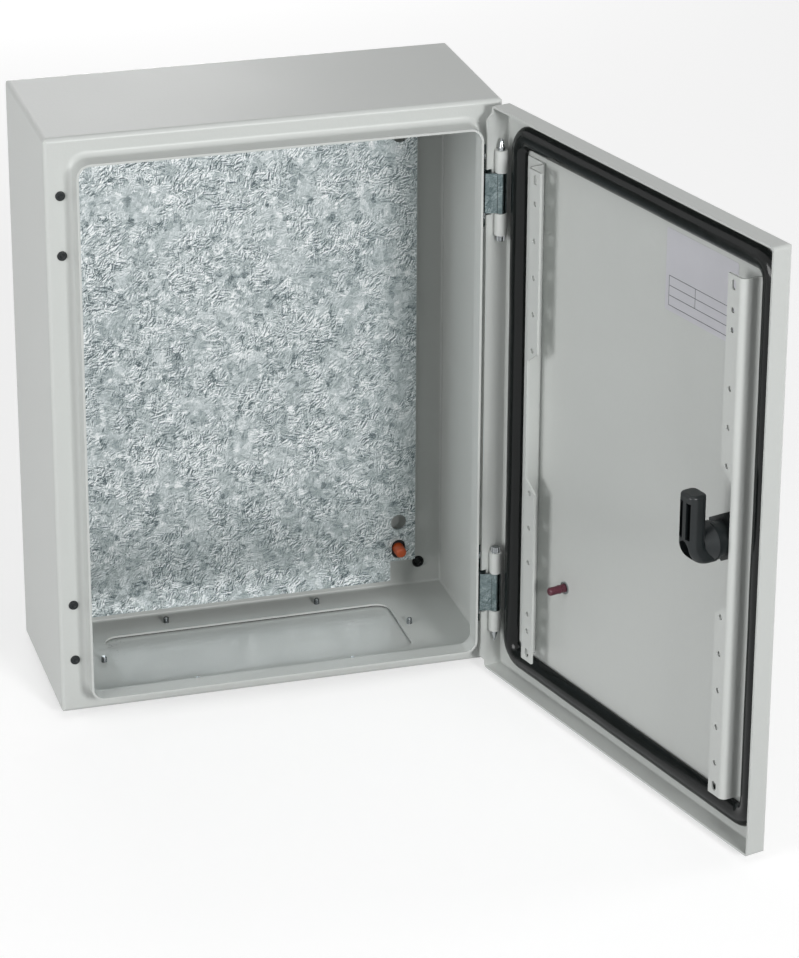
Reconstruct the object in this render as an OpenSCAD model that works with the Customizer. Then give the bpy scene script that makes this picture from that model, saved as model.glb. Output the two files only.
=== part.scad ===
// Wall-mount sheet-steel electrical cabinet with a hinged and sealed door, modelled with the door open.
// Millimetres. X points right, Y toward the wall, Z up. The origin is the middle of the rear face.

/* [Cabinet body] */
// Width of the body
body_w = 300; // [260:1:500]
// Height of the body
body_h = 400; // [360:1:700]
// Depth from the wall to the front flange
body_d = 125; // [118:1:250]
// Thickness of the body sheet
body_t = 1.5; // [1:0.1:2]
// Outside radius of the body's folds
body_bend = 3; // [2.5:0.1:5]
// Flange width at the sides, outside face to lip
side_flange = 17.5; // [17:0.1:20]
// Flange width at the top and bottom, outside face to lip
end_flange = 13.5; // [10:0.1:18]
// Radius of the lip's corners
lip_corner_r = 9; // [6:0.5:14]
// Radius of the bend from the flange to the lip
lip_root_r = 4; // [2:0.1:4.5]

/* [Door] */
// Angle of the open door at rest, from closed
door_open = 105; // [90:0.5:118]
// Depth of the door pan
door_d = 14; // [12:0.1:18]
// Thickness of the door sheet
door_t = 1.5; // [1:0.1:2]
// Outside radius of the door's folds
door_bend = 2.5; // [2.2:0.1:4]
// Gap between the closed door's rim and the flange
door_gap = 11; // [10:0.1:14]
// Extra depth of the door's return along the hinge side
hinge_return = 4; // [2:0.1:4.5]
// Height of the sealing bead
gasket_h = 7.2; // [5:0.1:7.5]
// Width of the sealing bead
gasket_w = 16.5; // [12:0.1:17]
// Inset of the bead's middle on the hinge side
gasket_hinge_inset = 17.7; // [17.5:0.1:18]
// Inset of the bead's middle on the lock side
gasket_lock_inset = 14; // [12:0.1:14]
// Inset of the bead's middle at the top and bottom
gasket_end_inset = 16; // [14:0.1:18]
// Corner radius of the bead's middle line
gasket_corner_r = 12; // [9:0.5:20]

/* [Hinges] */
// Distance of each hinge's middle from the end of the body
hinge_end = 58; // [50:1:90]
// Distance of the hinge axis from the door's outer edge
axis_inset = 5.5; // [5.2:0.1:6]
// Depth of the hinge axis behind the door's rim
axis_depth = 4.5; // [4:0.1:5]
// Diameter of the hinge pin
pin_dia = 5; // [3:0.1:5.2]
// Length of the pin's pointed tip
pin_tip = 8; // [4:0.5:10]
// Length of the pin's ribbed head
pin_head = 4; // [2:0.5:6]
// Height of the leaf's knuckle
knuckle_h = 27; // [16:1:40]
// Height of each sleeve on the door
sleeve_h = 15; // [8:1:24]
// Thickness of the hinge leaf
leaf_t = 1.5; // [1:0.1:1.6]
// Height of the leaf's base on the flange
leaf_base_h = 56; // [52:1:80]
// Distance between the hinge screws
hinge_screw_pitch = 40; // [30:1:44]
// Distance of the hinge screws from the body's side
hinge_screw_inset = 10; // [9.5:0.1:10.5]
// Diameter of the hinge screws
hinge_screw_dia = 4; // [3:0.1:4.4]

/* [Door rails] */
// Space from the bead to each end of a rail
rail_end_space = 3.7; // [2:0.1:40]
// Height of the rails above the door panel
rail_h = 14; // [11:0.5:20]
// Sheet thickness of the rails
rail_t = 1.5; // [1:0.1:2]
// Width of the rail's flange
rail_flange = 15; // [12:0.5:18]
// Outside bend radius of the rails
rail_bend = 4; // [3:0.1:5]
// Foot width of the hinge-side rail
hinge_rail_foot = 18; // [8:0.5:30]
// Foot width of the lock-side rail
lock_rail_foot = 2.8; // [2.6:0.1:8]
// Length of the gap in the rail's flange at mid height
rail_gap_len = 100; // [60:1:120]
// Diameter of the rail's perforations
rail_hole_dia = 3.6; // [2:0.1:5]
// Pitch of the rail's perforations
rail_pitch = 25; // [20:0.5:27]

/* [Lock] */
// Diameter of the lock housing
lock_dia = 22; // [18:0.5:24]
// Width across flats of the lock nut
lock_nut_af = 27.5; // [26:0.5:30]
// Thickness of the lock nut
lock_nut_t = 10.5; // [5:0.5:12]
// Height of the lock housing above the door panel
lock_height = 18; // [14:0.5:20]
// Reach of the tongue from the lock axis
tongue_reach = 35; // [30:0.5:36]
// Width of the tongue
tongue_w = 15; // [12:0.5:18]
// Thickness of the tongue's arm
tongue_t = 12.5; // [8:0.5:16]
// Radius along the edges of the tongue
tongue_r = 4.5; // [2:0.1:5]
// Inner radius of the tongue's elbow
tongue_inner_r = 3.5; // [2:0.1:5]
// Diameter of the tongue's hub
tongue_hub_dia = 25; // [22:0.5:27]
// Diameter of the turning spindle
spindle_dia = 12; // [8:0.5:14]

/* [Mounting plate] */
// Distance of the mounting plate from the body's sides
plate_side_space = 24.5; // [22:0.5:34]
// Distance of the mounting plate from the body's top and bottom
plate_end_space = 12.5; // [9:0.5:30]
// Thickness of the mounting plate
plate_t = 2; // [1.5:0.1:3]
// Distance of the plate from the back wall
plate_standoff = 12.5; // [8:0.5:30]
// Distance of the plate studs from the plate's sides
stud_side_inset = 12; // [11:0.5:16]
// Distance of the plate studs from the plate's ends
stud_end_inset = 24; // [20:0.5:40]
// Diameter of the plate studs
stud_dia = 6; // [4:0.1:7]
// Length of the stud in front of the plate
stud_front = 6; // [3:0.5:15]
// Width of the plate's slots
slot_w = 10; // [9.5:0.1:12]
// Length of the plate's slots
slot_len = 14; // [12:0.5:16]
// Diameter of the plate's round holes
plate_hole_dia = 11.3; // [6:0.1:14]

/* [Openings and fixings] */
// Inset of the wall-fixing holes from the body's edges
wall_hole_inset = 18; // [15:0.5:18]
// Diameter of the wall-fixing holes
wall_hole_dia = 7; // [6.5:0.1:9]
// Bore of the sealing bushes
bush_bore_dia = 5.5; // [4:0.1:5.8]
// Width of the cable opening in the bottom
gland_open_w = 203; // [120:1:205]
// Depth of the cable opening in the bottom
gland_open_d = 71; // [50:1:73]
// Distance of the cable opening's middle from the wall
gland_back = 62; // [60:0.5:63]
// Thickness of the gland plate
gland_t = 1.5; // [1:0.1:3]
// Thickness of the gland gasket
gland_seal_t = 1; // [0.8:0.1:4]
// Set-back of the gland gasket's inner edge from the cable opening
gland_seal_back = 1; // [0:0.1:1.5]
// Margin of the gland plate outside the opening at the sides
gland_side_margin = 13; // [12:0.5:16]
// Margin of the gland plate outside the opening at the front and rear
gland_end_margin = 18; // [14:0.5:18]
// Diameter of the gland screws
gland_screw_dia = 4; // [3:0.1:5]
// Distance of the gland screws from the gland plate's edge
gland_screw_edge = 6.5; // [6:0.1:7]
// Corner radius of the cable opening and the gland plate
gland_r = 10; // [4:0.5:14]

/* [Earth stud on the door] */
// Distance of the earth stud from the hinge edge
earth_inset = 77; // [70:1:140]
// Distance of the earth stud from the door's lower end
earth_up = 88; // [60:1:150]
// Diameter of the earth stud
earth_dia = 4; // [3:0.1:6]
// Length of the earth stud
earth_len = 12; // [8:0.5:16]

/* [Hidden] */
$fn = 64;

// Running clearance between a hinge pin and its knuckle
run_gap = 0.06;
// Clearance of a fixed pin, screw or stud in its hole
fit_gap = 0.05;
// Least air between bodies that pass each other
air = 0.3;
// Air left between the sealing lip and the bead on the closed door
seal_gap = 0.5;
// Overlap used to cut right through a wall
cut = 1;

steel_grey = "#c5c7c4";
zinc = "#b4bcc0";
black = "#1b1d1e";

door_w = body_w;
door_h = body_h;
rim_y = -(body_d + door_gap);
panel_out_y = rim_y - door_d;
panel_y = panel_out_y + door_t;
lip_h = door_gap + door_d - door_t - gasket_h - seal_gap;
lip_hw = body_w / 2 - side_flange;
lip_hh = body_h / 2 - end_flange;

hinge_x = body_w / 2 - axis_inset;
hinge_y = rim_y - axis_depth;
axis_up = door_d - door_t - axis_depth;
hinge_z = body_h / 2 - hinge_end;
hinge_screw_x = body_w / 2 - hinge_screw_inset;
sleeve_dia = 2 * (axis_inset - door_t);
knuckle_dia = sleeve_dia - 2 * air - 0.2;
sleeve_z = knuckle_h / 2 + air;
pin_top = sleeve_z + sleeve_h;

// Air between the bead, the rails and the lock nut, which stand side by side on the panel
beside = 0.5;
hinge_rail_inset = gasket_hinge_inset + gasket_w / 2 + beside + hinge_rail_foot;
lock_rail_inset = gasket_lock_inset + gasket_w / 2 + beside + lock_rail_foot;
rail_len = door_h - 2 * (gasket_end_inset + gasket_w / 2 + rail_end_space);
lock_u = door_w - lock_rail_inset - rail_t - beside - lock_nut_af / 2;
tongue_up = door_gap + door_d - door_t + body_t + 2 * air + 1;

plate_w = body_w - 2 * plate_side_space;
plate_h = body_h - 2 * plate_end_space;
stud_x = plate_w / 2 - stud_side_inset;
stud_z = plate_h / 2 - stud_end_inset;
plate_back = body_t + plate_standoff;
plate_front = plate_back + plate_t;
plate_hole_drop = 20.5;
notch_x = stud_x - slot_w / 2 - cut;
notch_z = stud_z + slot_len / 2 + 2;
cap_wall = 1;

wall_hole_x = body_w / 2 - wall_hole_inset;
wall_hole_z = body_h / 2 - wall_hole_inset;

gland_w = gland_open_w + 2 * gland_side_margin;
gland_d = gland_open_d + 2 * gland_end_margin;
gland_spots = [
    for (x = [-1, 1], y = [-1, 1]) [x * gland_w * 0.236, -gland_back + y * (gland_d / 2 - gland_screw_edge)],
    for (x = [-1, 1]) [x * (gland_w / 2 - gland_screw_edge), -gland_back]
];

// Shared shapes

// Rectangle with round corners, about its middle
module round_rect(w, h, r) {
    square([w - 2 * r, h], center = true);
    square([w, h - 2 * r], center = true);
    for (x = [-1, 1], y = [-1, 1])
        translate([x * (w / 2 - r), y * (h / 2 - r)]) circle(r);
}

// Box with folded round edges, its rear face on y = 0
module folded_box(w, h, d, r) {
    intersection() {
        rotate([90, 0, 0]) linear_extrude(d) round_rect(w, h, r);
        translate([0, -d / 2, 0]) rotate([90, 0, 90]) linear_extrude(w, center = true) round_rect(d, h, r);
        translate([0, -d / 2, 0]) linear_extrude(h, center = true) round_rect(w, d, r);
    }
}

// Frame with x to the right, y up and z out of the cabinet's front
module facing_front(y) {
    translate([0, y, 0]) rotate([90, 0, 0]) children();
}

// The same profile along a straight run
module run(len) {
    rotate([90, 0, 0]) linear_extrude(len, center = true) children();
}

// A profile carried round a rectangle with round corners; the profile's x points outward
module frame_sweep(hw, hh, r) {
    for (turn = [0, 180]) rotate([0, 0, turn]) {
        translate([hw, 0, 0]) run(2 * (hh - r)) children();
        translate([0, hh, 0]) rotate([0, 0, 90]) run(2 * (hw - r)) children();
        translate([hw - r, hh - r, 0]) rotate_extrude(angle = 90) translate([r, 0]) children();
        translate([r - hw, hh - r, 0]) rotate([0, 0, 90])
            rotate_extrude(angle = 90) translate([r, 0]) children();
    }
}

// Quarter of a bent sheet about the origin, in the third quadrant
module quarter_bend(r, t) {
    intersection() {
        difference() {
            circle(r + t);
            circle(r);
        }
        translate([-r - t, -r - t]) square(r + t);
    }
}

// Flat strip between two points with round ends
module strip(a, b, t) {
    step = b - a;
    translate(a) rotate(atan2(step[1], step[0])) translate([0, -t / 2]) square([norm(step), t]);
    translate(a) circle(d = t);
    translate(b) circle(d = t);
}

// Hole right through a piece that reaches from z = 0 to h
module bore(d, h) {
    translate([0, 0, -cut]) cylinder(d = d, h = h + 2 * cut);
}

// Four mirrored places in the body's rear wall
module in_corners(x, z) {
    for (sx = [-1, 1], sz = [-1, 1]) translate([sx * x, 0, sz * z]) children();
}

// Both screw places of each hinge on one side of the flange
module hinge_holes(side) {
    for (sz = [-1, 1], half = [-1, 1])
        translate([side * hinge_screw_x, 0, sz * hinge_z + half * hinge_screw_pitch / 2]) children();
}

// The door's own place: closed sizes, turned open about the hinge pins
module in_door() {
    translate([hinge_x, hinge_y, 0]) rotate([0, 0, door_open])
        translate([-hinge_x, -hinge_y, 0]) children();
}

// Inside of the door panel: x from the hinge edge, y up, z off the panel into the cabinet
module on_panel() {
    in_door() translate([door_w / 2, panel_y, 0]) rotate([90, 0, 180]) children();
}

// The lock's axis on the inside of the door panel
module on_lock() {
    on_panel() translate([lock_u, 0, 0]) children();
}

// The hinge axis of the upper hinge, z up
module at_hinge() {
    translate([hinge_x, hinge_y, hinge_z]) children();
}

// Cabinet body

module lip_profile() {
    translate([lip_root_r, lip_root_r]) quarter_bend(lip_root_r, body_t);
    translate([-body_t, lip_root_r]) square([body_t, lip_h - lip_root_r]);
}

module body_shell() {
    in_w = body_w - 2 * body_t;
    in_h = body_h - 2 * body_t;
    in_d = body_d - 2 * body_t;
    mouth_w = 2 * (lip_hw + lip_root_r);
    mouth_h = 2 * (lip_hh + lip_root_r);
    color(steel_grey) difference() {
        union() {
            difference() {
                folded_box(body_w, body_h, body_d, body_bend);
                translate([0, -body_t, 0]) folded_box(in_w, in_h, in_d, body_bend - body_t);
                facing_front(body_t + cut - body_d) linear_extrude(body_t + 2 * cut)
                    round_rect(mouth_w, mouth_h, lip_corner_r + lip_root_r);
            }
            facing_front(-body_d) frame_sweep(lip_hw, lip_hh, lip_corner_r) lip_profile();
        }
        translate([0, -gland_back, -body_h / 2 - cut]) linear_extrude(body_t + 2 * cut)
            round_rect(gland_open_w, gland_open_d, gland_r);
        for (spot = gland_spots) translate([spot[0], spot[1], -body_h / 2])
            bore(gland_screw_dia + 2 * fit_gap, body_t);
        in_corners(wall_hole_x, wall_hole_z) facing_front(0) bore(wall_hole_dia, body_t);
        for (side = [-1, 1]) hinge_holes(side) facing_front(body_t - body_d)
            bore(hinge_screw_dia + 2 * fit_gap, body_t);
    }
}

module mounting_plate() {
    color(zinc) facing_front(-plate_back) linear_extrude(plate_t) difference() {
        square([plate_w, plate_h], center = true);
        for (sx = [-1, 1], sz = [-1, 1]) {
            translate([sx * stud_x, sz * stud_z]) round_rect(slot_w, slot_len, slot_w / 2 - fit_gap);
            translate([sx * stud_x, sz * (stud_z - plate_hole_drop)]) circle(d = plate_hole_dia);
            translate([sx * (notch_x + plate_w / 2), sz * (notch_z + plate_h / 2)])
                square([plate_w, plate_h], center = true);
        }
    }
}

module plate_studs() {
    color(zinc) in_corners(stud_x, stud_z) facing_front(-body_t)
        cylinder(d = stud_dia, h = plate_standoff + plate_t + stud_front);
}

module plate_spacers() {
    color(black) in_corners(stud_x, stud_z) facing_front(-body_t) difference() {
        cylinder(d = slot_w + 6, h = plate_standoff);
        bore(stud_dia + 2 * fit_gap, plate_standoff);
    }
}

module stud_caps() {
    color("#c8511e") in_corners(stud_x, stud_z) facing_front(-plate_back) difference() {
        union() {
            cylinder(d = stud_dia + 2 * cap_wall, h = plate_t + stud_front + cap_wall);
            translate([0, 0, plate_t + stud_front + cap_wall])
                cylinder(d1 = stud_dia + 2 * cap_wall, d2 = stud_dia, h = cap_wall);
        }
        translate([0, 0, -cut])
            cylinder(d = stud_dia + 2 * fit_gap, h = plate_t + stud_front + fit_gap + cut);
    }
}

module wall_bushes() {
    collar = 1.5;
    collar_edge = 0.7;
    color(black) in_corners(wall_hole_x, wall_hole_z) facing_front(-body_t) difference() {
        union() {
            cylinder(d = wall_hole_dia + 2 * collar_edge, h = collar);
            translate([0, 0, -body_t]) cylinder(d = wall_hole_dia - 2 * fit_gap, h = body_t + collar);
        }
        translate([0, 0, -body_t]) bore(bush_bore_dia, body_t + collar);
    }
}

module flange_plugs() {
    head = 1;
    color(black) hinge_holes(-1) facing_front(-body_d) {
        cylinder(d = hinge_screw_dia + 2.4, h = head);
        translate([0, 0, -body_t - head]) cylinder(d = hinge_screw_dia, h = body_t + head);
    }
}

// Cable opening in the bottom

module gland_outline(hole_dia) {
    difference() {
        round_rect(gland_w, gland_d, gland_r);
        for (spot = gland_spots) translate([spot[0], spot[1] + gland_back]) circle(d = hole_dia);
    }
}

module gland_plate() {
    color(steel_grey) translate([0, -gland_back, -body_h / 2 - gland_seal_t - gland_t])
        linear_extrude(gland_t) gland_outline(gland_screw_dia + 2 * fit_gap);
}

module gland_gasket() {
    color(black) translate([0, -gland_back, -body_h / 2 - gland_seal_t])
        linear_extrude(gland_seal_t) difference() {
            gland_outline(gland_screw_dia + 2 * fit_gap);
            round_rect(gland_open_w + 2 * gland_seal_back, gland_open_d + 2 * gland_seal_back, gland_r);
        }
}

module gland_screws() {
    head_h = gland_screw_dia * 0.6;
    tip = 4;
    color(zinc) for (spot = gland_spots)
        translate([spot[0], spot[1], -body_h / 2 - gland_seal_t - gland_t]) {
            translate([0, 0, -head_h])
                cylinder(d1 = gland_screw_dia * 1.5, d2 = gland_screw_dia * 2, h = head_h);
            cylinder(d = gland_screw_dia, h = gland_t + gland_seal_t + body_t + tip);
        }
}

// Hinges

// Places of the leaf's folds, seen from above with the hinge axis as origin
leaf_flange_y = door_gap + axis_depth - leaf_t / 2;
leaf_web_x = lip_hw + leaf_t / 2 + 1.2 - hinge_x;
leaf_foot_x = lip_hw + lip_root_r + leaf_t + 0.6 - hinge_x;
leaf_edge_x = lip_hw + lip_root_r + air - hinge_x;
leaf_tip_x = body_w / 2 - body_bend - hinge_x;
leaf_bend_y = leaf_flange_y - 6.5;
leaf_fold_y = gasket_h - axis_up + leaf_t / 2 + 1.2;

module leaf_arm() {
    strip([leaf_foot_x, leaf_flange_y], [leaf_web_x, leaf_bend_y], leaf_t);
    strip([leaf_web_x, leaf_bend_y], [leaf_web_x, leaf_fold_y], leaf_t);
    strip([leaf_web_x, leaf_fold_y], [0, leaf_t / 2 - knuckle_dia / 2 + 1], leaf_t);
    circle(d = knuckle_dia);
}

module hinge_leaf() {
    screw_x = hinge_screw_x - hinge_x;
    color(zinc) at_hinge() difference() {
        union() {
            linear_extrude(knuckle_h, center = true) leaf_arm();
            translate([(leaf_edge_x + leaf_tip_x) / 2, leaf_flange_y, 0])
                cube([leaf_tip_x - leaf_edge_x, leaf_t, leaf_base_h], center = true);
        }
        cylinder(d = pin_dia + 2 * run_gap, h = knuckle_h + 2 * cut, center = true);
        for (half = [-1, 1]) translate([screw_x, leaf_flange_y, half * hinge_screw_pitch / 2])
            rotate([90, 0, 0])
                cylinder(d = hinge_screw_dia + 2 * fit_gap, h = leaf_t + 2 * cut, center = true);
    }
}

module upper_hinge_leaf() {
    hinge_leaf();
}

module lower_hinge_leaf() {
    mirror([0, 0, 1]) hinge_leaf();
}

hinge_nut_h = 3;

module hinge_screws() {
    head_h = 2;
    color(zinc) hinge_holes(1) facing_front(-body_d - leaf_t) {
        cylinder(d1 = hinge_screw_dia * 1.7, d2 = hinge_screw_dia * 1.2, h = head_h);
        translate([0, 0, -leaf_t - body_t - hinge_nut_h - 1])
            cylinder(d = hinge_screw_dia, h = leaf_t + body_t + hinge_nut_h + 1);
    }
}

module hinge_nuts() {
    color(zinc) hinge_holes(1) facing_front(body_t - body_d) translate([0, 0, -hinge_nut_h]) difference() {
        cylinder(d = hinge_screw_dia * 2, h = hinge_nut_h, $fn = 6);
        bore(hinge_screw_dia + 2 * fit_gap, hinge_nut_h);
    }
}

module hinge_sleeves() {
    weld_w = 5;
    color(steel_grey) in_door() for (sz = [-1, 1], end = [-1, 1])
        translate([hinge_x, hinge_y, sz * hinge_z + end * (sleeve_z + sleeve_h / 2)]) difference() {
            union() {
                cylinder(d = sleeve_dia, h = sleeve_h, center = true);
                translate([(axis_inset - door_t) / 2, 0, 0])
                    cube([axis_inset - door_t, weld_w, sleeve_h], center = true);
            }
            cylinder(d = pin_dia + 2 * fit_gap, h = sleeve_h + 2 * cut, center = true);
        }
}

module hinge_pin() {
    head_dia = pin_dia + 1.2;
    blunt = 0.6;
    color(zinc) in_door() at_hinge() {
        translate([0, 0, -pin_top]) cylinder(d = pin_dia, h = 2 * pin_top);
        translate([0, 0, pin_top]) cylinder(d1 = pin_dia, d2 = blunt, h = pin_tip);
        translate([0, 0, -pin_top - pin_head]) cylinder(d = head_dia, h = pin_head);
    }
}

module upper_hinge_pin() {
    hinge_pin();
}

module lower_hinge_pin() {
    mirror([0, 0, 1]) hinge_pin();
}

// Door

// Deeper stretch of the hinge-side return, notched where the hinge leaves pass
module hinge_flap() {
    half_h = door_h / 2 - 2 * door_bend - hinge_return;
    notch_h = knuckle_h + 4;
    translate([door_w / 2 - door_t, rim_y, 0]) rotate([90, 0, 90]) linear_extrude(door_t) difference() {
        polygon([
            [-cut, -half_h - hinge_return], [0, -half_h - hinge_return], [hinge_return, -half_h],
            [hinge_return, half_h], [0, half_h + hinge_return], [-cut, half_h + hinge_return]
        ]);
        for (sz = [-1, 1]) translate([0, sz * hinge_z - notch_h / 2]) square([hinge_return + cut, notch_h]);
    }
}

module door_panel() {
    extra = door_bend + door_d;
    box_d = door_d + extra;
    in_w = door_w - 2 * door_t;
    in_h = door_h - 2 * door_t;
    color(steel_grey) in_door() {
        difference() {
            translate([0, rim_y + extra, 0]) folded_box(door_w, door_h, box_d, door_bend);
            translate([0, rim_y + extra - door_t, 0])
                folded_box(in_w, in_h, box_d - 2 * door_t, door_bend - door_t);
            translate([-door_w, rim_y, -door_h]) cube([2 * door_w, 2 * extra, 2 * door_h]);
            translate([door_w / 2 - lock_u, 0, 0]) facing_front(panel_y)
                bore(lock_dia + 2 * fit_gap, door_t);
        }
        hinge_flap();
    }
}

module bead_profile() {
    round_r = (pow(gasket_w / 2, 2) + pow(gasket_h, 2)) / (2 * gasket_h);
    intersection() {
        translate([0, gasket_h - round_r]) circle(round_r);
        translate([-gasket_w / 2, 0]) square([gasket_w, gasket_h]);
    }
}

module door_gasket() {
    hw = (door_w - gasket_hinge_inset - gasket_lock_inset) / 2;
    color(black) on_panel() translate([gasket_hinge_inset + hw, 0, 0])
        frame_sweep(hw, door_h / 2 - gasket_end_inset, gasket_corner_r) bead_profile();
}

// Z-section: x toward the door's middle from the web, y off the panel
module rail_profile(foot) {
    inner = rail_bend - rail_t;
    translate([-foot, 0]) square([foot - inner, rail_t]);
    translate([-inner, rail_bend]) rotate(90) quarter_bend(inner, rail_t);
    translate([0, rail_bend]) square([rail_t, rail_h - 2 * rail_bend]);
    translate([rail_bend, rail_h - rail_bend]) rotate(-90) quarter_bend(inner, rail_t);
    translate([rail_bend, rail_h - rail_t]) square([rail_flange - rail_bend, rail_t]);
}

// One rail along y, with its flange's perforations and its gap at mid height
module rail(foot) {
    slope = 9;
    hole_x = rail_flange * 0.62;
    end_hole = rail_len / 2 - 6;
    last = floor((end_hole - rail_pitch / 3) / rail_pitch);
    upper = [for (i = [2:last]) i * rail_pitch];
    lower = [for (i = [2:last]) -(i == 5 ? i + 0.5 : i) * rail_pitch];
    difference() {
        rotate([90, 0, 0]) linear_extrude(rail_len, center = true) rail_profile(foot);
        translate([0, 0, rail_h - rail_bend]) linear_extrude(rail_bend + cut) {
            polygon([
                [rail_bend, slope - rail_gap_len / 2], [rail_flange + cut, -rail_gap_len / 2],
                [rail_flange + cut, rail_gap_len / 2], [rail_bend, rail_gap_len / 2 - slope]
            ]);
            for (y = concat(upper, lower)) translate([hole_x, y]) circle(d = rail_hole_dia);
            for (end = [-1, 1]) translate([hole_x, end * end_hole]) round_rect(4.4, 6.4, 2.1);
        }
    }
}

module hinge_side_rail() {
    color(steel_grey) on_panel() translate([hinge_rail_inset, 0, 0]) rail(hinge_rail_foot);
}

module lock_side_rail() {
    color(steel_grey) on_panel() translate([door_w - lock_rail_inset, 0, 0])
        rotate([0, 0, 180]) rail(lock_rail_foot);
}

// Quarter-turn lock

lock_flange_t = 3;
lock_seal_t = 1;
lock_seal_z = -door_t - lock_seal_t;
lock_face_z = lock_seal_z - lock_flange_t;

module lock_housing() {
    color(black) on_lock() difference() {
        union() {
            translate([0, 0, lock_seal_z]) cylinder(d = lock_dia, h = lock_height - lock_seal_z);
            translate([0, 0, lock_face_z]) cylinder(d1 = lock_dia + 4, d2 = lock_dia + 8, h = lock_flange_t);
        }
        translate([0, 0, lock_face_z]) bore(spindle_dia + 2 * run_gap, lock_height - lock_face_z);
    }
}

module lock_seal() {
    color(black) on_lock() translate([0, 0, lock_seal_z]) difference() {
        cylinder(d = lock_dia + 6, h = lock_seal_t);
        bore(lock_dia + 2 * fit_gap, lock_seal_t);
    }
}

module lock_nut() {
    color(black) on_lock() difference() {
        rotate([0, 0, 30]) cylinder(d = lock_nut_af / cos(30), h = lock_nut_t, $fn = 6);
        bore(lock_dia + 2 * fit_gap, lock_nut_t);
    }
}

// Square end that carries the tongue, and a double-bit recess at the outside
drive_w = spindle_dia * 0.66;
drive_len = 8;
hub_up = lock_height + air;

module lock_spindle() {
    recess = 6;
    bit_w = 3;
    color(zinc) on_lock() difference() {
        union() {
            translate([0, 0, lock_face_z]) cylinder(d = spindle_dia, h = hub_up - lock_face_z);
            translate([0, 0, hub_up + drive_len / 2]) cube([drive_w, drive_w, drive_len], center = true);
        }
        translate([0, 0, lock_face_z - cut]) difference() {
            cylinder(d = spindle_dia - 2.4, h = recess + cut);
            cylinder(d = bit_w + 2, h = recess + cut);
            translate([0, 0, (recess + cut) / 2]) cube([spindle_dia, bit_w, recess + cut], center = true);
        }
        translate([0, 0, hub_up]) cylinder(d = screw_dia + 2 * fit_gap, h = drive_len + cut);
    }
}

screw_dia = 4;
screw_seat = 2;
tongue_top = tongue_up + tongue_t;
tongue_floor = hub_up + drive_len;

// Cranked tongue: an arm, an elbow and a leg of one rounded section, standing on a flared hub
tongue_edge_r = min(tongue_r, tongue_t / 2 - 0.25);
elbow_y = tongue_inner_r + tongue_t - tongue_hub_dia / 2;
elbow_z = tongue_up - tongue_inner_r;

module tongue_section() {
    round_rect(tongue_w, tongue_t, tongue_edge_r);
}

// Straight arm along y, its free end rounded over
module tongue_arm() {
    len = tongue_reach - elbow_y;
    tip_r = tongue_edge_r * 0.45;
    core_w = tongue_w - 2 * tip_r;
    core_t = tongue_t - 2 * tip_r;
    core_r = tongue_edge_r - tip_r;
    translate([0, elbow_y, tongue_up + tongue_t / 2]) rotate([-90, 0, 0]) {
        linear_extrude(len - tip_r) tongue_section();
        linear_extrude(len) round_rect(core_w, core_t, core_r);
        translate([0, 0, len - tip_r]) frame_sweep(core_w / 2, core_t / 2, core_r) circle(tip_r);
    }
}

module tongue_elbow() {
    translate([0, elbow_y, elbow_z]) rotate([90, 0, 90]) rotate([0, 0, 90]) rotate_extrude(angle = 90)
        translate([tongue_inner_r + tongue_t / 2, 0]) rotate(90) tongue_section();
}

module tongue_leg() {
    translate([0, (tongue_t - tongue_hub_dia) / 2, hub_up])
        linear_extrude(elbow_z - hub_up) tongue_section();
}

module tongue_hub() {
    rim = 2;
    translate([0, 0, hub_up]) cylinder(d = tongue_hub_dia, h = rim);
    translate([0, 0, hub_up + rim])
        cylinder(d1 = tongue_hub_dia - 1, d2 = tongue_w - 1, h = tongue_up + 1 - hub_up - rim);
}

// Open pocket over the screw, run out down the elbow's curve
module screw_pocket() {
    pocket_w = tongue_w * 0.6;
    pocket_drop = tongue_hub_dia * 0.2;
    translate([0, 0, tongue_floor + screw_seat]) linear_extrude(tongue_top) {
        circle(d = pocket_w);
        translate([-pocket_w / 2, -pocket_drop]) square([pocket_w, pocket_drop]);
        translate([0, -pocket_drop]) circle(d = pocket_w);
    }
}

// Two moulded hollows along the arm
module tongue_grooves() {
    groove_w = tongue_w * 0.25;
    groove_start = tongue_w * 0.4;
    groove_end = tongue_reach - tongue_w / 3;
    groove_deep = tongue_t * 0.55;
    for (side = [-1, 1])
        translate([side * tongue_w * 0.235 - groove_w / 2, groove_start, tongue_top - groove_deep])
            cube([groove_w, groove_end - groove_start, groove_deep + cut]);
}

module lock_tongue() {
    socket_w = drive_w + 2 * fit_gap;
    color(black) on_lock() difference() {
        union() {
            tongue_arm();
            tongue_elbow();
            tongue_leg();
            tongue_hub();
        }
        translate([0, 0, hub_up + (drive_len - cut) / 2])
            cube([socket_w, socket_w, drive_len + cut], center = true);
        translate([0, 0, tongue_floor - cut]) cylinder(d = screw_dia + 2 * fit_gap, h = tongue_top);
        screw_pocket();
        tongue_grooves();
    }
}

module tongue_screw() {
    head_h = 2.5;
    color(zinc) on_lock() translate([0, 0, tongue_floor + screw_seat]) {
        cylinder(d = tongue_w * 0.48, h = head_h);
        translate([0, 0, fit_gap - screw_seat - drive_len])
            cylinder(d = screw_dia, h = screw_seat + drive_len);
    }
}

// Earth stud

washer_t = 1;

module on_earth() {
    on_panel() translate([earth_inset, earth_up - door_h / 2, 0]) children();
}

module door_earth_stud() {
    color(zinc) on_earth() cylinder(d = earth_dia, h = earth_len);
}

module stud_washer() {
    color(zinc) on_earth() difference() {
        cylinder(d = earth_dia * 2.1, h = washer_t);
        bore(earth_dia + 2 * fit_gap, washer_t);
    }
}

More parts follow.
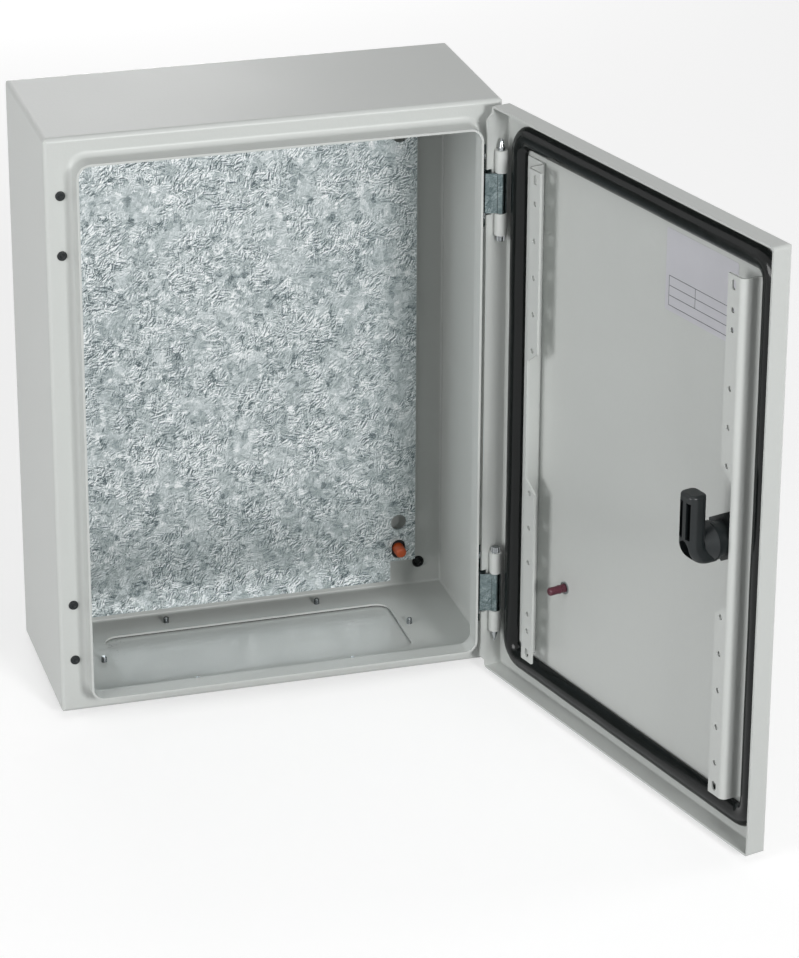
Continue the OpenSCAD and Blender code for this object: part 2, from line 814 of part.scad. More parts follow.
module door_stud_cap() {
    color("#5c2236") on_earth() translate([0, 0, washer_t]) difference() {
        cylinder(d = earth_dia + 2 * cap_wall, h = earth_len - washer_t + cap_wall);
        translate([0, 0, -cut])
            cylinder(d = earth_dia + 2 * fit_gap, h = earth_len - washer_t + fit_gap + cut);
    }
}

body_shell();
mounting_plate();
plate_studs();
plate_spacers();
stud_caps();
wall_bushes();
flange_plugs();
gland_plate();
gland_gasket();
gland_screws();
upper_hinge_leaf();
lower_hinge_leaf();
hinge_screws();
hinge_nuts();
door_panel();
hinge_sleeves();
upper_hinge_pin();
lower_hinge_pin();
door_gasket();
hinge_side_rail();
lock_side_rail();
lock_housing();
lock_seal();
lock_nut();
lock_spindle();
lock_tongue();
tongue_screw();
door_earth_stud();
stud_washer();
door_stud_cap();
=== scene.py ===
"""Looks of a wall-mount sheet-steel cabinet: its finishes, its fine pieces and a plain studio.

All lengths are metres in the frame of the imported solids: X right, Y into the wall, Z up.
"""
from __future__ import annotations

import logging
import math
from collections.abc import Iterable, Sequence
from dataclasses import dataclass
from enum import Enum
from typing import Any

import bmesh
import bpy
from mathutils import Matrix, Vector, noise

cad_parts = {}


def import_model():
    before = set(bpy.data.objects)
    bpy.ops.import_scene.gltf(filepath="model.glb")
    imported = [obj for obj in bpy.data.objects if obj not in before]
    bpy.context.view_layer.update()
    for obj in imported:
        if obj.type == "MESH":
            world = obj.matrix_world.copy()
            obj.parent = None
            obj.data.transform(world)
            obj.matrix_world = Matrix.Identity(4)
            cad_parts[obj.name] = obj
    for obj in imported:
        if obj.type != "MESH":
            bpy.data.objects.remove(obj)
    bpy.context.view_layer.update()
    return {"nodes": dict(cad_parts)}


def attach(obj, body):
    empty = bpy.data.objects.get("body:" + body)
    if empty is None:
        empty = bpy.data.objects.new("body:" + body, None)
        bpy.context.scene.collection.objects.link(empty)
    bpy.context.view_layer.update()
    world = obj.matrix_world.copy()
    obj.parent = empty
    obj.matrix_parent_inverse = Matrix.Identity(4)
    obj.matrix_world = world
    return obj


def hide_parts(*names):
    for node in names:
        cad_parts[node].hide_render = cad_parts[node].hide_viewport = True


LOG = logging.getLogger("cabinet")
MM = 0.001
WELD = 0.0001 * MM
Colour = tuple[float, float, float]
Point = tuple[float, float, float]
Outline = tuple[tuple[float, float], ...]
Nodes = dict[str, bpy.types.Object]
Mesh = bmesh.types.BMesh
Verts = list[bmesh.types.BMVert]
Edges = list[bmesh.types.BMEdge]


class Body(str, Enum):
    """The moving groups that a piece can ride on."""

    CABINET = "cabinet"
    DOOR = "door"
    LOCK_CAM = "lock_cam"


class Slot(str, Enum):
    """Names of the part's material slots."""

    ZINC = "zinc_plated_steel"
    RUBBER = "black_rubber"
    BLACK = "black_plastic"
    ORANGE = "orange_plastic"
    DARK_RED = "dark_red_plastic"


# Shader nodes


class Graph:
    """A node tree with short calls to add nodes and join their sockets."""

    def __init__(self, tree: bpy.types.NodeTree) -> None:
        """Keeps the tree and empties it."""
        self.tree = tree
        self.tree.nodes.clear()

    def add(self, kind: str, **settings: Any) -> bpy.types.Node:
        """Adds a node.

        Args:
            kind: the node's type name without its ShaderNode prefix, or in full.
            settings: properties of the node, by name.

        Returns:
            The new node.
        """
        full = kind if kind.startswith("Node") else "ShaderNode" + kind
        made = self.tree.nodes.new(full)
        for name, value in settings.items():
            setattr(made, name, value)
        return made

    def feed(self, target: bpy.types.NodeSocket, value: Any) -> None:
        """Joins a socket to the target, or sets the target's own value.

        Args:
            target: the input socket.
            value: an output socket, a number, a vector or a colour.
        """
        if isinstance(value, bpy.types.NodeSocket):
            self.tree.links.new(value, target)
        else:
            target.default_value = value

    def maths(self, operation: str, first: Any, second: Any) -> bpy.types.NodeSocket:
        """Adds a Math node.

        Args:
            operation: the node's operation.
            first: the first input, a socket or a number.
            second: the second input, a socket or a number.

        Returns:
            The node's output socket.
        """
        made = self.add("Math", operation=operation)
        self.feed(made.inputs[0], first)
        self.feed(made.inputs[1], second)
        return made.outputs[0]

    def vector(self, operation: str, *values: Any) -> bpy.types.NodeSocket:
        """Adds a Vector Math node.

        Args:
            operation: the node's operation.
            values: its vector inputs in order, each a socket or a vector.

        Returns:
            The node's vector socket.
        """
        made = self.add("VectorMath", operation=operation)
        for target, value in zip(made.inputs, values):
            self.feed(target, value)
        return made.outputs[0]

    def span(
        self, value: Any, low: float, high: float, start: float = 0.0, end: float = 1.0,
    ) -> bpy.types.NodeSocket:
        """Maps a value from one range to another.

        Args:
            value: the input socket.
            low: the result at start.
            high: the result at end.
            start: the lower end of the input's range.
            end: the upper end of the input's range.

        Returns:
            The mapped value's socket.
        """
        made = self.add("MapRange")
        self.feed(made.inputs["Value"], value)
        made.inputs["From Min"].default_value = start
        made.inputs["From Max"].default_value = end
        made.inputs["To Min"].default_value = low
        made.inputs["To Max"].default_value = high
        return made.outputs["Result"]

    def ramp(self, value: Any, stops: Sequence[tuple[float, Colour]]) -> bpy.types.NodeSocket:
        """Maps a value to a colour.

        Args:
            value: the input socket.
            stops: places from 0 to 1 with their linear colours.

        Returns:
            The colour's socket.
        """
        made = self.add("ValToRGB")
        band = made.color_ramp
        while len(band.elements) < len(stops):
            band.elements.new(0.5)
        for element, (place, colour) in zip(band.elements, stops):
            element.position = place
            element.color = (*colour, 1.0)
        self.feed(made.inputs["Fac"], value)
        return made.outputs["Color"]

    def noise(self, place: Any, scale: Any, detail: float = 2.0, rough: float = 0.5) -> bpy.types.Node:
        """Adds a Noise texture.

        Args:
            place: the coordinates to read.
            scale: waves in a unit of length.
            detail: how many finer layers are added.
            rough: how strong the finer layers are.

        Returns:
            The texture node.
        """
        made = self.add("TexNoise")
        self.feed(made.inputs["Vector"], place)
        self.feed(made.inputs["Scale"], scale)
        made.inputs["Detail"].default_value = detail
        made.inputs["Roughness"].default_value = rough
        return made

    def cells(self, place: Any, scale: float) -> bpy.types.Node:
        """Adds cells that each have three random values.

        Args:
            place: the coordinates to read.
            scale: cells in a unit of length.

        Returns:
            The node whose outputs are the three values.
        """
        made = self.add("TexVoronoi", feature="F1")
        self.feed(made.inputs["Vector"], place)
        made.inputs["Scale"].default_value = scale
        values = self.add("SeparateColor")
        self.feed(values.inputs["Color"], made.outputs["Color"])
        return values

    def effect(self, tree: bpy.types.NodeTree, place: Any, scale: float) -> bpy.types.Node:
        """Places a shared effect.

        Args:
            tree: the shared group.
            place: the coordinates to read.
            scale: the effect's scale.

        Returns:
            The group's node.
        """
        made = self.add("Group", node_tree=tree)
        self.feed(made.inputs["Vector"], place)
        made.inputs["Scale"].default_value = scale
        return made

    def mix(self, share: Any, first: bpy.types.Node, second: bpy.types.Node) -> bpy.types.Node:
        """Mixes two shaders.

        Args:
            share: the socket that tells the second shader's share.
            first: the first shader.
            second: the second shader.

        Returns:
            The mixing node.
        """
        made = self.add("MixShader")
        self.feed(made.inputs[0], share)
        self.feed(made.inputs[1], first.outputs[0])
        self.feed(made.inputs[2], second.outputs[0])
        return made

    def seen(self) -> bpy.types.NodeSocket:
        """Tells the rays that show the background from those that only carry its light.

        Returns:
            A socket that is 1 for rays from the camera, a mirror or glass, and 0 for the rest.
        """
        path = self.add("LightPath")
        shown = self.maths("MAXIMUM", path.outputs["Is Camera Ray"], path.outputs["Is Glossy Ray"])
        return self.maths("MAXIMUM", shown, path.outputs["Is Transmission Ray"])


@dataclass(frozen=True)
class Feathers:
    """One layer of zinc crystals with feathered ridges.

    Attributes:
        cells: crystals in a unit of length.
        turn: which of a crystal's random values turns its ridges.
        stretch: how fine the ridges are along each axis.
        flat: how much the crystals differ in tone.
        relief: how strongly the ridges show, as painted light and shade along them.
    """

    cells: float
    turn: int
    stretch: Point
    flat: float
    relief: float


class Effects:
    """Shared shader groups, each built once.

    Attributes:
        made: the groups that exist, by name.
        usual: the range that a noise mostly keeps to.
        fine_share: share of the fine pebbles in a grain.
        fine_rough: roughness of the fine pebbles' noise.
        broad_scale: scale of the broad pebbles beside the fine ones.
        swirl: how much the unevenness of handling is stirred.
        slow_detail, slow_rough: finer layers of that unevenness, and how strong they are.
        ridge_rough: roughness of the noise that bends and draws the crystals.
        bend_waves: waves of the crystals' bent borders.
        bend_reach: how far the borders bend.
        lit_step: where the ridges' height is compared, to paint their light and shade as under a lamp on
            that side.
        patch_waves: waves of the patches where the painted ridge shading shows more or less.
        patch_edge: the noise at which a patch starts, and at which it is full.
        patch_strength: how strongly the painted ridge shading shows outside a patch and inside it.
        middle: the middle of a tone or a random value, which both go from 0 to 1.
        layers: the coarse and the fine crystals.
        flakes: scale of the few crystals that shine or stay dark.
        shine, shine_from: how much lighter they are, and the random values from which they are so.
        shade, shade_below: how much darker they are, and the random values below which they are so.
    """

    made: dict[str, bpy.types.NodeTree] = {}
    usual: tuple[float, float] = (0.3, 0.7)
    fine_share: float = 0.65
    fine_rough: float = 0.45
    broad_scale: float = 0.31
    swirl: float = 0.8
    slow_detail: float = 4.0
    slow_rough: float = 0.6
    ridge_rough: float = 0.55
    bend_waves: float = 1.9
    bend_reach: Point = (0.55, 0.55, 0.55)
    lit_step: Point = (0.055, 0.0, -0.075)
    patch_waves: float = 0.4
    patch_edge: tuple[float, float] = (0.35, 0.65)
    patch_strength: tuple[float, float] = (0.25, 1.15)
    middle: float = 0.5
    # Each layer's relief sets the strength of its painted ridge shading.
    layers: tuple[Feathers, ...] = (
        Feathers(cells=1.35, turn=0, stretch=(1.4, 1.4, 5.6), flat=0.17, relief=1.6),
        Feathers(cells=2.6, turn=1, stretch=(2.8, 2.8, 9.5), flat=0.14, relief=1.2),
    )
    flakes: float = 2.3
    shine: float = 0.16
    shine_from: tuple[float, float] = (0.82, 0.96)
    shade: float = 0.14
    shade_below: tuple[float, float] = (0.06, 0.1)

    @classmethod
    def start(cls, name: str, outputs: Sequence[str]) -> tuple[Graph, Any, Any, Any]:
        """Starts an empty group that reads a place and a scale.

        Args:
            name: the group's name.
            outputs: names of its number outputs.

        Returns:
            The group's graph, its place, its scale and its output node.
        """
        tree = bpy.data.node_groups.new(name, "ShaderNodeTree")
        tree.interface.new_socket("Vector", in_out="INPUT", socket_type="NodeSocketVector")
        tree.interface.new_socket("Scale", in_out="INPUT", socket_type="NodeSocketFloat")
        for label in outputs:
            tree.interface.new_socket(label, in_out="OUTPUT", socket_type="NodeSocketFloat")
        graph = Graph(tree)
        cls.made[name] = tree
        given = graph.add("NodeGroupInput")
        return graph, given.outputs["Vector"], given.outputs["Scale"], graph.add("NodeGroupOutput")

    @classmethod
    def grain(cls) -> bpy.types.NodeTree:
        """Builds the fine pebbled skin of a powder coat or a moulding.

        Returns:
            The group, which puts out a height and a tone.
        """
        if "grain" in cls.made:
            return cls.made["grain"]
        graph, place, scale, out = cls.start("grain", ("Height", "Tone"))
        fine = graph.noise(place, scale, rough=cls.fine_rough)
        broad = graph.noise(place, graph.maths("MULTIPLY", scale, cls.broad_scale))
        mixed = graph.maths(
            "ADD", graph.maths("MULTIPLY", fine.outputs["Fac"], cls.fine_share),
            graph.maths("MULTIPLY", broad.outputs["Fac"], 1.0 - cls.fine_share))
        graph.feed(out.inputs["Height"], mixed)
        graph.feed(out.inputs["Tone"], graph.span(mixed, 0.0, 1.0, *cls.usual))
        return cls.made["grain"]

    @classmethod
    def handling(cls) -> bpy.types.NodeTree:
        """Builds the slow, faint unevenness of a handled surface.

        Returns:
            The group, which puts out a tone from 0 to 1.
        """
        if "handling" in cls.made:
            return cls.made["handling"]
        graph, place, scale, out = cls.start("handling", ("Tone",))
        slow = graph.noise(place, scale, cls.slow_detail, cls.slow_rough)
        slow.inputs["Distortion"].default_value = cls.swirl
        graph.feed(out.inputs["Tone"], graph.span(slow.outputs["Fac"], 0.0, 1.0, *cls.usual))
        return cls.made["handling"]

    @classmethod
    def ridges(cls, graph: Graph, place: Any, angle: Any, stretch: Point) -> bpy.types.NodeSocket:
        """Draws straight ridges that lie at an angle.

        Args:
            graph: the group's graph.
            place: the coordinates to read.
            angle: the turn about the plate's normal.
            stretch: how fine the ridges are along each axis.

        Returns:
            The ridges' height.
        """
        spin = graph.add("VectorRotate", rotation_type="Y_AXIS")
        graph.feed(spin.inputs["Vector"], place)
        graph.feed(spin.inputs["Angle"], angle)
        drawn = graph.vector("MULTIPLY", spin.outputs[0], stretch)
        return graph.noise(drawn, 1.0, rough=cls.ridge_rough).outputs["Fac"]

    @classmethod
    def spangle(cls) -> bpy.types.NodeTree:
        """Builds the feathered crystals of a hot-dip zinc coat, with painted light and shade along their
        ridges.

        Returns:
            The group, which puts out a tone that holds that painted shading, and a height.
        """
        if "spangle" in cls.made:
            return cls.made["spangle"]
        graph, given, scale, out = cls.start("spangle", ("Tone", "Height"))
        sized = graph.add("VectorMath", operation="SCALE")
        graph.feed(sized.inputs[0], given)
        graph.feed(sized.inputs["Scale"], scale)
        place = sized.outputs[0]
        beside = graph.vector("ADD", place, cls.lit_step)
        border = graph.noise(place, cls.bend_waves, rough=cls.ridge_rough).outputs["Color"]
        bent = graph.vector("MULTIPLY_ADD", border, cls.bend_reach, place)
        patch = graph.noise(place, cls.patch_waves).outputs["Fac"]
        strength = graph.span(patch, *cls.patch_strength, *cls.patch_edge)
        tone: Any = cls.middle
        height: Any = 0.0
        for layer in cls.layers:
            crystal = graph.cells(bent, layer.cells)
            angle = graph.maths("MULTIPLY", crystal.outputs[layer.turn], math.tau)
            ridge = cls.ridges(graph, place, angle, layer.stretch)
            shaded = cls.ridges(graph, beside, angle, layer.stretch)
            level = graph.maths("SUBTRACT", crystal.outputs[2], cls.middle)
            level = graph.maths("MULTIPLY", level, layer.flat)
            # Painted light and shade: ridge height here less ridge height at lit_step, as if a lamp
            # stood on that side.
            painted_ridge_shade = graph.maths("SUBTRACT", ridge, shaded)
            painted_ridge_shade = graph.maths("MULTIPLY", painted_ridge_shade, layer.relief)
            painted_ridge_shade = graph.maths("MULTIPLY", painted_ridge_shade, strength)
            tone = graph.maths("ADD", tone, graph.maths("ADD", level, painted_ridge_shade))
            height = graph.maths("ADD", height, ridge)
        flake = graph.cells(bent, cls.flakes).outputs[0]
        bright = graph.span(flake, 0.0, cls.shine, *cls.shine_from)
        dark = graph.span(flake, cls.shade, 0.0, *cls.shade_below)
        tone = graph.maths("SUBTRACT", graph.maths("ADD", tone, bright), dark)
        graph.feed(out.inputs["Tone"], tone)
        graph.feed(out.inputs["Height"], height)
        return cls.made["spangle"]


# Finishes


@dataclass(frozen=True, kw_only=True)
class Finish:
    """What every finish has: a shader and the relief of its skin.

    Attributes:
        name: the material's name.
        roughness: its middle roughness.
        rough_spread: how far the roughness strays.
        metallic: 1 for bare metal.
        gloss: level of the mirror-like part.
        bump: strength of the skin's relief.
        depth: height of the relief.
    """

    name: str
    roughness: float
    rough_spread: float = 0.08
    metallic: float = 0.0
    gloss: float = 0.5
    bump: float
    depth: float

    def material(self) -> bpy.types.Material:
        """Returns the material, which is built at its first use."""
        made = bpy.data.materials.get(self.name)
        return self.build() if made is None else made

    def build(self) -> bpy.types.Material:
        """Builds the material, in the way of each kind of finish."""
        raise NotImplementedError

    def shader(self) -> tuple[bpy.types.Material, Graph, bpy.types.Node, bpy.types.NodeSocket]:
        """Starts the material.

        Returns:
            The material, its graph, its shader and the object coordinates.
        """
        made = bpy.data.materials.new(self.name)
        made.use_nodes = True
        graph = Graph(made.node_tree)
        shader = graph.add("BsdfPrincipled")
        shader.inputs["Metallic"].default_value = self.metallic
        shader.inputs["Specular IOR Level"].default_value = self.gloss
        end = graph.add("OutputMaterial")
        graph.feed(end.inputs["Surface"], shader.outputs["BSDF"])
        place = graph.add("TexCoord")
        return made, graph, shader, place.outputs["Object"]

    def raise_skin(self, graph: Graph, shader: bpy.types.Node, height: Any) -> None:
        """Gives the shader a bump.

        Args:
            graph: the material's graph.
            shader: the material's shader.
            height: the socket of the bump's height.
        """
        bump = graph.add("Bump")
        bump.inputs["Strength"].default_value = self.bump
        bump.inputs["Distance"].default_value = self.depth
        graph.feed(bump.inputs["Height"], height)
        graph.feed(shader.inputs["Normal"], bump.outputs["Normal"])


@dataclass(frozen=True, kw_only=True)
class Plain(Finish):
    """A plain finish with faint unevenness.

    Attributes:
        colour: its linear colour.
        spread: how far the colour strays, as a share of it.
        grain: pebbles of the skin in a metre.
        slow: slow waves of unevenness in a metre.
        skin_share: how much of the tone comes from the skin and not from handling.
    """

    colour: Colour
    spread: float = 0.03
    grain: float
    slow: float = 9.0
    skin_share: float = 0.4

    def tint(self, factor: float) -> Colour:
        """Returns the colour made lighter or darker by a factor."""
        return tuple(min(1.0, part * factor) for part in self.colour)

    def build(self) -> bpy.types.Material:
        """Builds the material.

        Returns:
            The material.
        """
        made, graph, shader, place = self.shader()
        skin = graph.effect(Effects.grain(), place, self.grain)
        worn = graph.effect(Effects.handling(), place, self.slow)
        tone = graph.maths(
            "ADD", graph.maths("MULTIPLY", skin.outputs["Tone"], self.skin_share),
            graph.maths("MULTIPLY", worn.outputs["Tone"], 1.0 - self.skin_share))
        stops = ((0.0, self.tint(1.0 - self.spread)), (1.0, self.tint(1.0 + self.spread)))
        graph.feed(shader.inputs["Base Color"], graph.ramp(tone, stops))
        low, high = self.roughness - self.rough_spread, self.roughness + self.rough_spread
        graph.feed(shader.inputs["Roughness"], graph.span(tone, low, high))
        self.raise_skin(graph, shader, skin.outputs["Height"])
        return made


@dataclass(frozen=True, kw_only=True)
class Spangled(Finish):
    """Hot-dip zinc with visible crystals and painted light and shade along their ridges.

    Attributes:
        crystals: scale of the crystals.
        stops: tones with their linear colours.
        rough_tones: tones between which the roughness falls.
    """

    crystals: float
    stops: tuple[tuple[float, Colour], ...]
    rough_tones: tuple[float, float] = (0.25, 0.75)

    def build(self) -> bpy.types.Material:
        """Builds the material.

        Returns:
            The material.
        """
        made, graph, shader, place = self.shader()
        coat = graph.effect(Effects.spangle(), place, self.crystals)
        tone = coat.outputs["Tone"]
        graph.feed(shader.inputs["Base Color"], graph.ramp(tone, self.stops))
        low, high = self.roughness + self.rough_spread, self.roughness - self.rough_spread
        graph.feed(shader.inputs["Roughness"], graph.span(tone, low, high, *self.rough_tones))
        self.raise_skin(graph, shader, coat.outputs["Height"])
        return made


PAINT = Plain(
    name="light_grey_powder_coat", colour=(0.565, 0.585, 0.568), roughness=0.4, rough_spread=0.05,
    grain=560.0, bump=0.5, depth=0.2 * MM, spread=0.02, slow=6.0)
COVER_PAINT = Plain(
    name="smooth_light_grey_coat", colour=(0.55, 0.57, 0.556), roughness=0.3, rough_spread=0.035,
    grain=620.0, bump=0.22, depth=0.1 * MM, spread=0.025)
SPANGLE = Spangled(
    name="spangled_zinc_coat", roughness=0.4, rough_spread=0.12, metallic=0.6, bump=0.2, depth=0.1 * MM,
    crystals=122.0,
    stops=((0.18, (0.09, 0.12, 0.13)), (0.38, (0.31, 0.36, 0.37)), (0.5, (0.46, 0.515, 0.525)),
           (0.61, (0.62, 0.67, 0.68)), (0.84, (0.95, 0.97, 0.98))))
# The strip's dark teal colour is painted reflection: bright zinc darkened so that the white surround it
# mirrors looks like dark surroundings.
STRAP_ZINC = Spangled(
    name="zinc_strip", roughness=0.2, rough_spread=0.05, metallic=1.0, bump=0.025, depth=0.02 * MM,
    crystals=130.0,
    stops=((0.15, (0.07, 0.1, 0.105)), (0.5, (0.14, 0.18, 0.185)), (0.9, (0.26, 0.31, 0.32))))
# Darker than bare zinc: painted reflection that makes the white surround it mirrors look like darker
# surroundings.
BRIGHT_ZINC = Plain(
    name="bright_zinc", colour=(0.36, 0.38, 0.39), roughness=0.15, rough_spread=0.06, metallic=1.0,
    grain=1500.0, bump=0.08, depth=0.03 * MM, spread=0.16, slow=60.0)
SEAL_BLACK = Plain(
    name="foamed_black_seal", colour=(0.005, 0.0066, 0.0064), roughness=0.17, rough_spread=0.06,
    grain=1300.0, bump=0.2, depth=0.07 * MM, spread=0.25, slow=30.0, gloss=0.26)
MOULDED_BLACK = Plain(
    name="moulded_black", colour=(0.0085, 0.0115, 0.0125), roughness=0.38,
    grain=2600.0, bump=0.12, depth=0.05 * MM, spread=0.2, slow=40.0, gloss=0.38)
MOULDED_ORANGE = Plain(
    name="moulded_orange", colour=(0.4, 0.068, 0.014), roughness=0.36, rough_spread=0.06,
    grain=2200.0, bump=0.06, depth=0.04 * MM, spread=0.1, slow=50.0)
MOULDED_RED = Plain(
    name="moulded_dark_red", colour=(0.085, 0.013, 0.027), roughness=0.3, rough_spread=0.06,
    grain=2200.0, bump=0.06, depth=0.04 * MM, spread=0.12, slow=50.0)
SILVER_FILM = Plain(
    name="silver_film", colour=(0.6, 0.6, 0.64), roughness=0.36, rough_spread=0.06, metallic=0.15,
    grain=1900.0, bump=0.05, depth=0.03 * MM, slow=20.0)
RULING_INK = Plain(
    name="ruling_ink", colour=(0.03, 0.035, 0.042), roughness=0.5,
    grain=2000.0, bump=0.02, depth=0.02 * MM, spread=0.1)


# Mesh work


def in_metres(*points: tuple[float, float]) -> Outline:
    """Returns an outline whose radius and height pairs are given in millimetres."""
    return tuple((radius * MM, height * MM) for radius, height in points)


def only_edges(geometry: Iterable[Any]) -> Edges:
    """Returns the edges of a mixed list of mesh elements."""
    return [item for item in geometry if isinstance(item, bmesh.types.BMEdge)]


def only_verts(geometry: Iterable[Any]) -> Verts:
    """Returns the vertices of a mixed list of mesh elements."""
    return [item for item in geometry if isinstance(item, bmesh.types.BMVert)]


def added(bm: Mesh, before: set[bmesh.types.BMVert]) -> Verts:
    """Returns the vertices that a mesh has gained since an earlier set of them."""
    return [vert for vert in bm.verts if vert not in before]


def ring(bm: Mesh, outline: Sequence[tuple[float, float]], steps: int = 40) -> Verts:
    """Turns an outline about the Z axis.

    Args:
        bm: the mesh to add to.
        outline: radius and height pairs, from one end to the other.
        steps: faces round the axis.

    Returns:
        The new vertices.
    """
    before = set(bm.verts)
    line = [bm.verts.new((radius, 0.0, height)) for radius, height in outline]
    edges = [bm.edges.new(pair) for pair in zip(line, line[1:])]
    bmesh.ops.spin(
        bm, geom=line + edges, cent=(0, 0, 0), axis=(0, 0, 1), angle=math.tau, steps=steps,
        use_merge=True)
    bmesh.ops.remove_doubles(bm, verts=added(bm, before), dist=WELD)
    return added(bm, before)


def round_end(radius: float, top: float, round_r: float, steps: int) -> Outline:
    """Works out the outline of a rounded end.

    Args:
        radius: the outside radius.
        top: the height of the end.
        round_r: the radius of the rounding.
        steps: faces along the rounding.

    Returns:
        Radius and height pairs from the side to the axis.
    """
    points = []
    for index in range(steps + 1):
        angle = math.pi / 2 * index / steps
        out, up = round_r * math.cos(angle), round_r * math.sin(angle)
        points.append((radius - round_r + out, top - round_r + up))
    return (*points, (0.0, top))


def slab(bm: Mesh, middle: Vector, size: Point, up: float) -> None:
    """Adds a flat slab.

    Args:
        bm: the mesh to add to.
        middle: its middle across and along.
        size: its width, length and thickness.
        up: the height of its middle.
    """
    verts = bmesh.ops.create_cube(bm, size=1.0)["verts"]
    bmesh.ops.scale(bm, verts=verts, vec=size)
    bmesh.ops.translate(bm, verts=verts, vec=(middle.x, middle.y, up))


def shift(bm: Mesh, verts: Iterable[bmesh.types.BMVert], matrix: Matrix) -> None:
    """Moves vertices by a matrix."""
    bmesh.ops.transform(bm, matrix=matrix, verts=list(verts))


def along(direction: Sequence[float], place: Sequence[float]) -> Matrix:
    """Returns the matrix that takes the Z axis to a direction, and the origin to a place."""
    turn = Vector((0, 0, 1)).rotation_difference(Vector(direction).normalized())
    return Matrix.Translation(Vector(place)) @ turn.to_matrix().to_4x4()


def make(
    name: str, bm: Mesh, finishes: Sequence[Finish], body: Body,
    stands_for: Sequence[str] = (), sharp: float = 32.0,
) -> bpy.types.Object:
    """Makes a finished piece of a mesh and lets it ride on a body.

    Args:
        name: the piece's name.
        bm: its mesh, in place; it is freed.
        finishes: its finishes, in the order of the faces' material numbers.
        body: the body that carries it.
        stands_for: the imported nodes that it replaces.
        sharp: the least angle of a sharp edge, in degrees.

    Returns:
        The new object.
    """
    bmesh.ops.recalc_face_normals(bm, faces=bm.faces)
    mesh = bpy.data.meshes.new(name)
    bm.to_mesh(mesh)
    bm.free()
    mesh.shade_smooth()
    mesh.set_sharp_from_angle(angle=math.radians(sharp))
    for finish in finishes:
        mesh.materials.append(finish.material())
    piece = bpy.data.objects.new(name, mesh)
    bpy.context.scene.collection.objects.link(piece)
    if stands_for:
        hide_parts(*stands_for)
    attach(piece, body.value)
    LOG.info("piece %s rides on %s", name, body.value)
    return piece


def dress(nodes: Nodes, names: Iterable[str], finish: Finish) -> None:
    """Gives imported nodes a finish.

    Args:
        nodes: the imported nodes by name.
        names: the nodes to dress.
        finish: their finish.
    """
    for name in names:
        item = nodes[name]
        if not item.material_slots:
            item.data.materials.append(finish.material())
        for place in item.material_slots:
            place.material = finish.material()
        LOG.info("node %s has %s", name, finish.name)


@dataclass(frozen=True)
class Screw:
    """A machine screw about the Z axis, with a cross pressed into its domed head.

    Attributes:
        shank: the core's outline, with the head's seat at height 0.
        low: the height where the thread starts.
        high: the height where the thread ends.
        head_r: the head's radius.
        head_h: the head's height.
        dome: how much of that height is domed.
        crest: the thread's outer radius.
        pitch: the thread's rise in one turn.
        depth: the thread's depth, in pitches.
        ridge: where the crest starts and ends, in pitches.
        arm: length of the cross's arms, in radii of the head.
        arm_half: half the width of an arm, in radii of the head.
        sunk: depth of the cross, in heights of the head.
        taper: how much of that depth is lost at an arm's end.
        shank_steps, turn_steps: faces round the shank and along a turn of the thread.
        head_steps: faces across the head, an odd number, so that no vertex is at its middle.
    """

    shank: Outline
    low: float
    high: float
    head_r: float
    head_h: float
    dome: float
    crest: float = 2.0 * MM
    pitch: float = 0.7 * MM
    depth: float = 0.55
    ridge: tuple[float, float] = (0.45, 0.55)
    arm: float = 0.62
    arm_half: float = 0.14
    sunk: float = 0.55
    taper: float = 0.6
    shank_steps: int = 24
    turn_steps: int = 18
    head_steps: int = 15

    def stem(self, bm: Mesh) -> Verts:
        """Adds the threaded shank and returns its vertices."""
        return ring(bm, self.shank, self.shank_steps) + self.thread(bm)

    def thread(self, bm: Mesh) -> Verts:
        """Winds the thread about the shank.

        Args:
            bm: the mesh to add to.

        Returns:
            The new vertices.
        """
        before = set(bm.verts)
        root = self.crest - self.depth * self.pitch
        rise = self.high - self.low
        shape = (
            (root, 0.0), (self.crest, self.ridge[0] * self.pitch),
            (self.crest, self.ridge[1] * self.pitch), (root, self.pitch))
        line = [bm.verts.new((radius, 0.0, self.low + up)) for radius, up in shape]
        edges = [bm.edges.new(pair) for pair in zip(line, line[1:] + line[:1])]
        turns = rise / self.pitch
        steps = round(turns * self.turn_steps)
        wound = bmesh.ops.spin(
            bm, geom=line + edges, cent=(0, 0, 0), axis=(0, 0, 1), angle=math.tau * turns,
            dvec=(0, 0, rise / steps), steps=steps)
        bmesh.ops.edgeloop_fill(bm, edges=edges)
        bmesh.ops.edgeloop_fill(bm, edges=only_edges(wound["geom_last"]))
        return added(bm, before)

    def head(self, bm: Mesh) -> Verts:
        """Adds the head, made round from a square grid, with its cross.

        Args:
            bm: the mesh to add to.

        Returns:
            The new vertices.
        """
        before = set(bm.verts)
        made = bmesh.ops.create_grid(
            bm, x_segments=self.head_steps, y_segments=self.head_steps, size=self.head_r)
        arm, half = self.head_r * self.arm, self.head_r * self.arm_half
        for vert in made["verts"]:
            square = max(abs(vert.co.x), abs(vert.co.y))
            vert.co *= square / vert.co.length
            radius = vert.co.length / self.head_r
            far = max(abs(vert.co.x), abs(vert.co.y))
            near = min(abs(vert.co.x), abs(vert.co.y))
            vert.co.z = self.head_h - self.dome * radius * radius
            if near < half and far < arm:
                vert.co.z -= self.head_h * self.sunk * (1.0 - self.taper * far / arm)
        rim = [edge for edge in bm.edges if edge.is_boundary and edge.verts[0] not in before]
        skirt = bmesh.ops.extrude_edge_only(bm, edges=rim)["geom"]
        for vert in only_verts(skirt):
            vert.co.z = 0.0
        bmesh.ops.edgeloop_fill(bm, edges=only_edges(skirt))
        return added(bm, before)


# Shared places


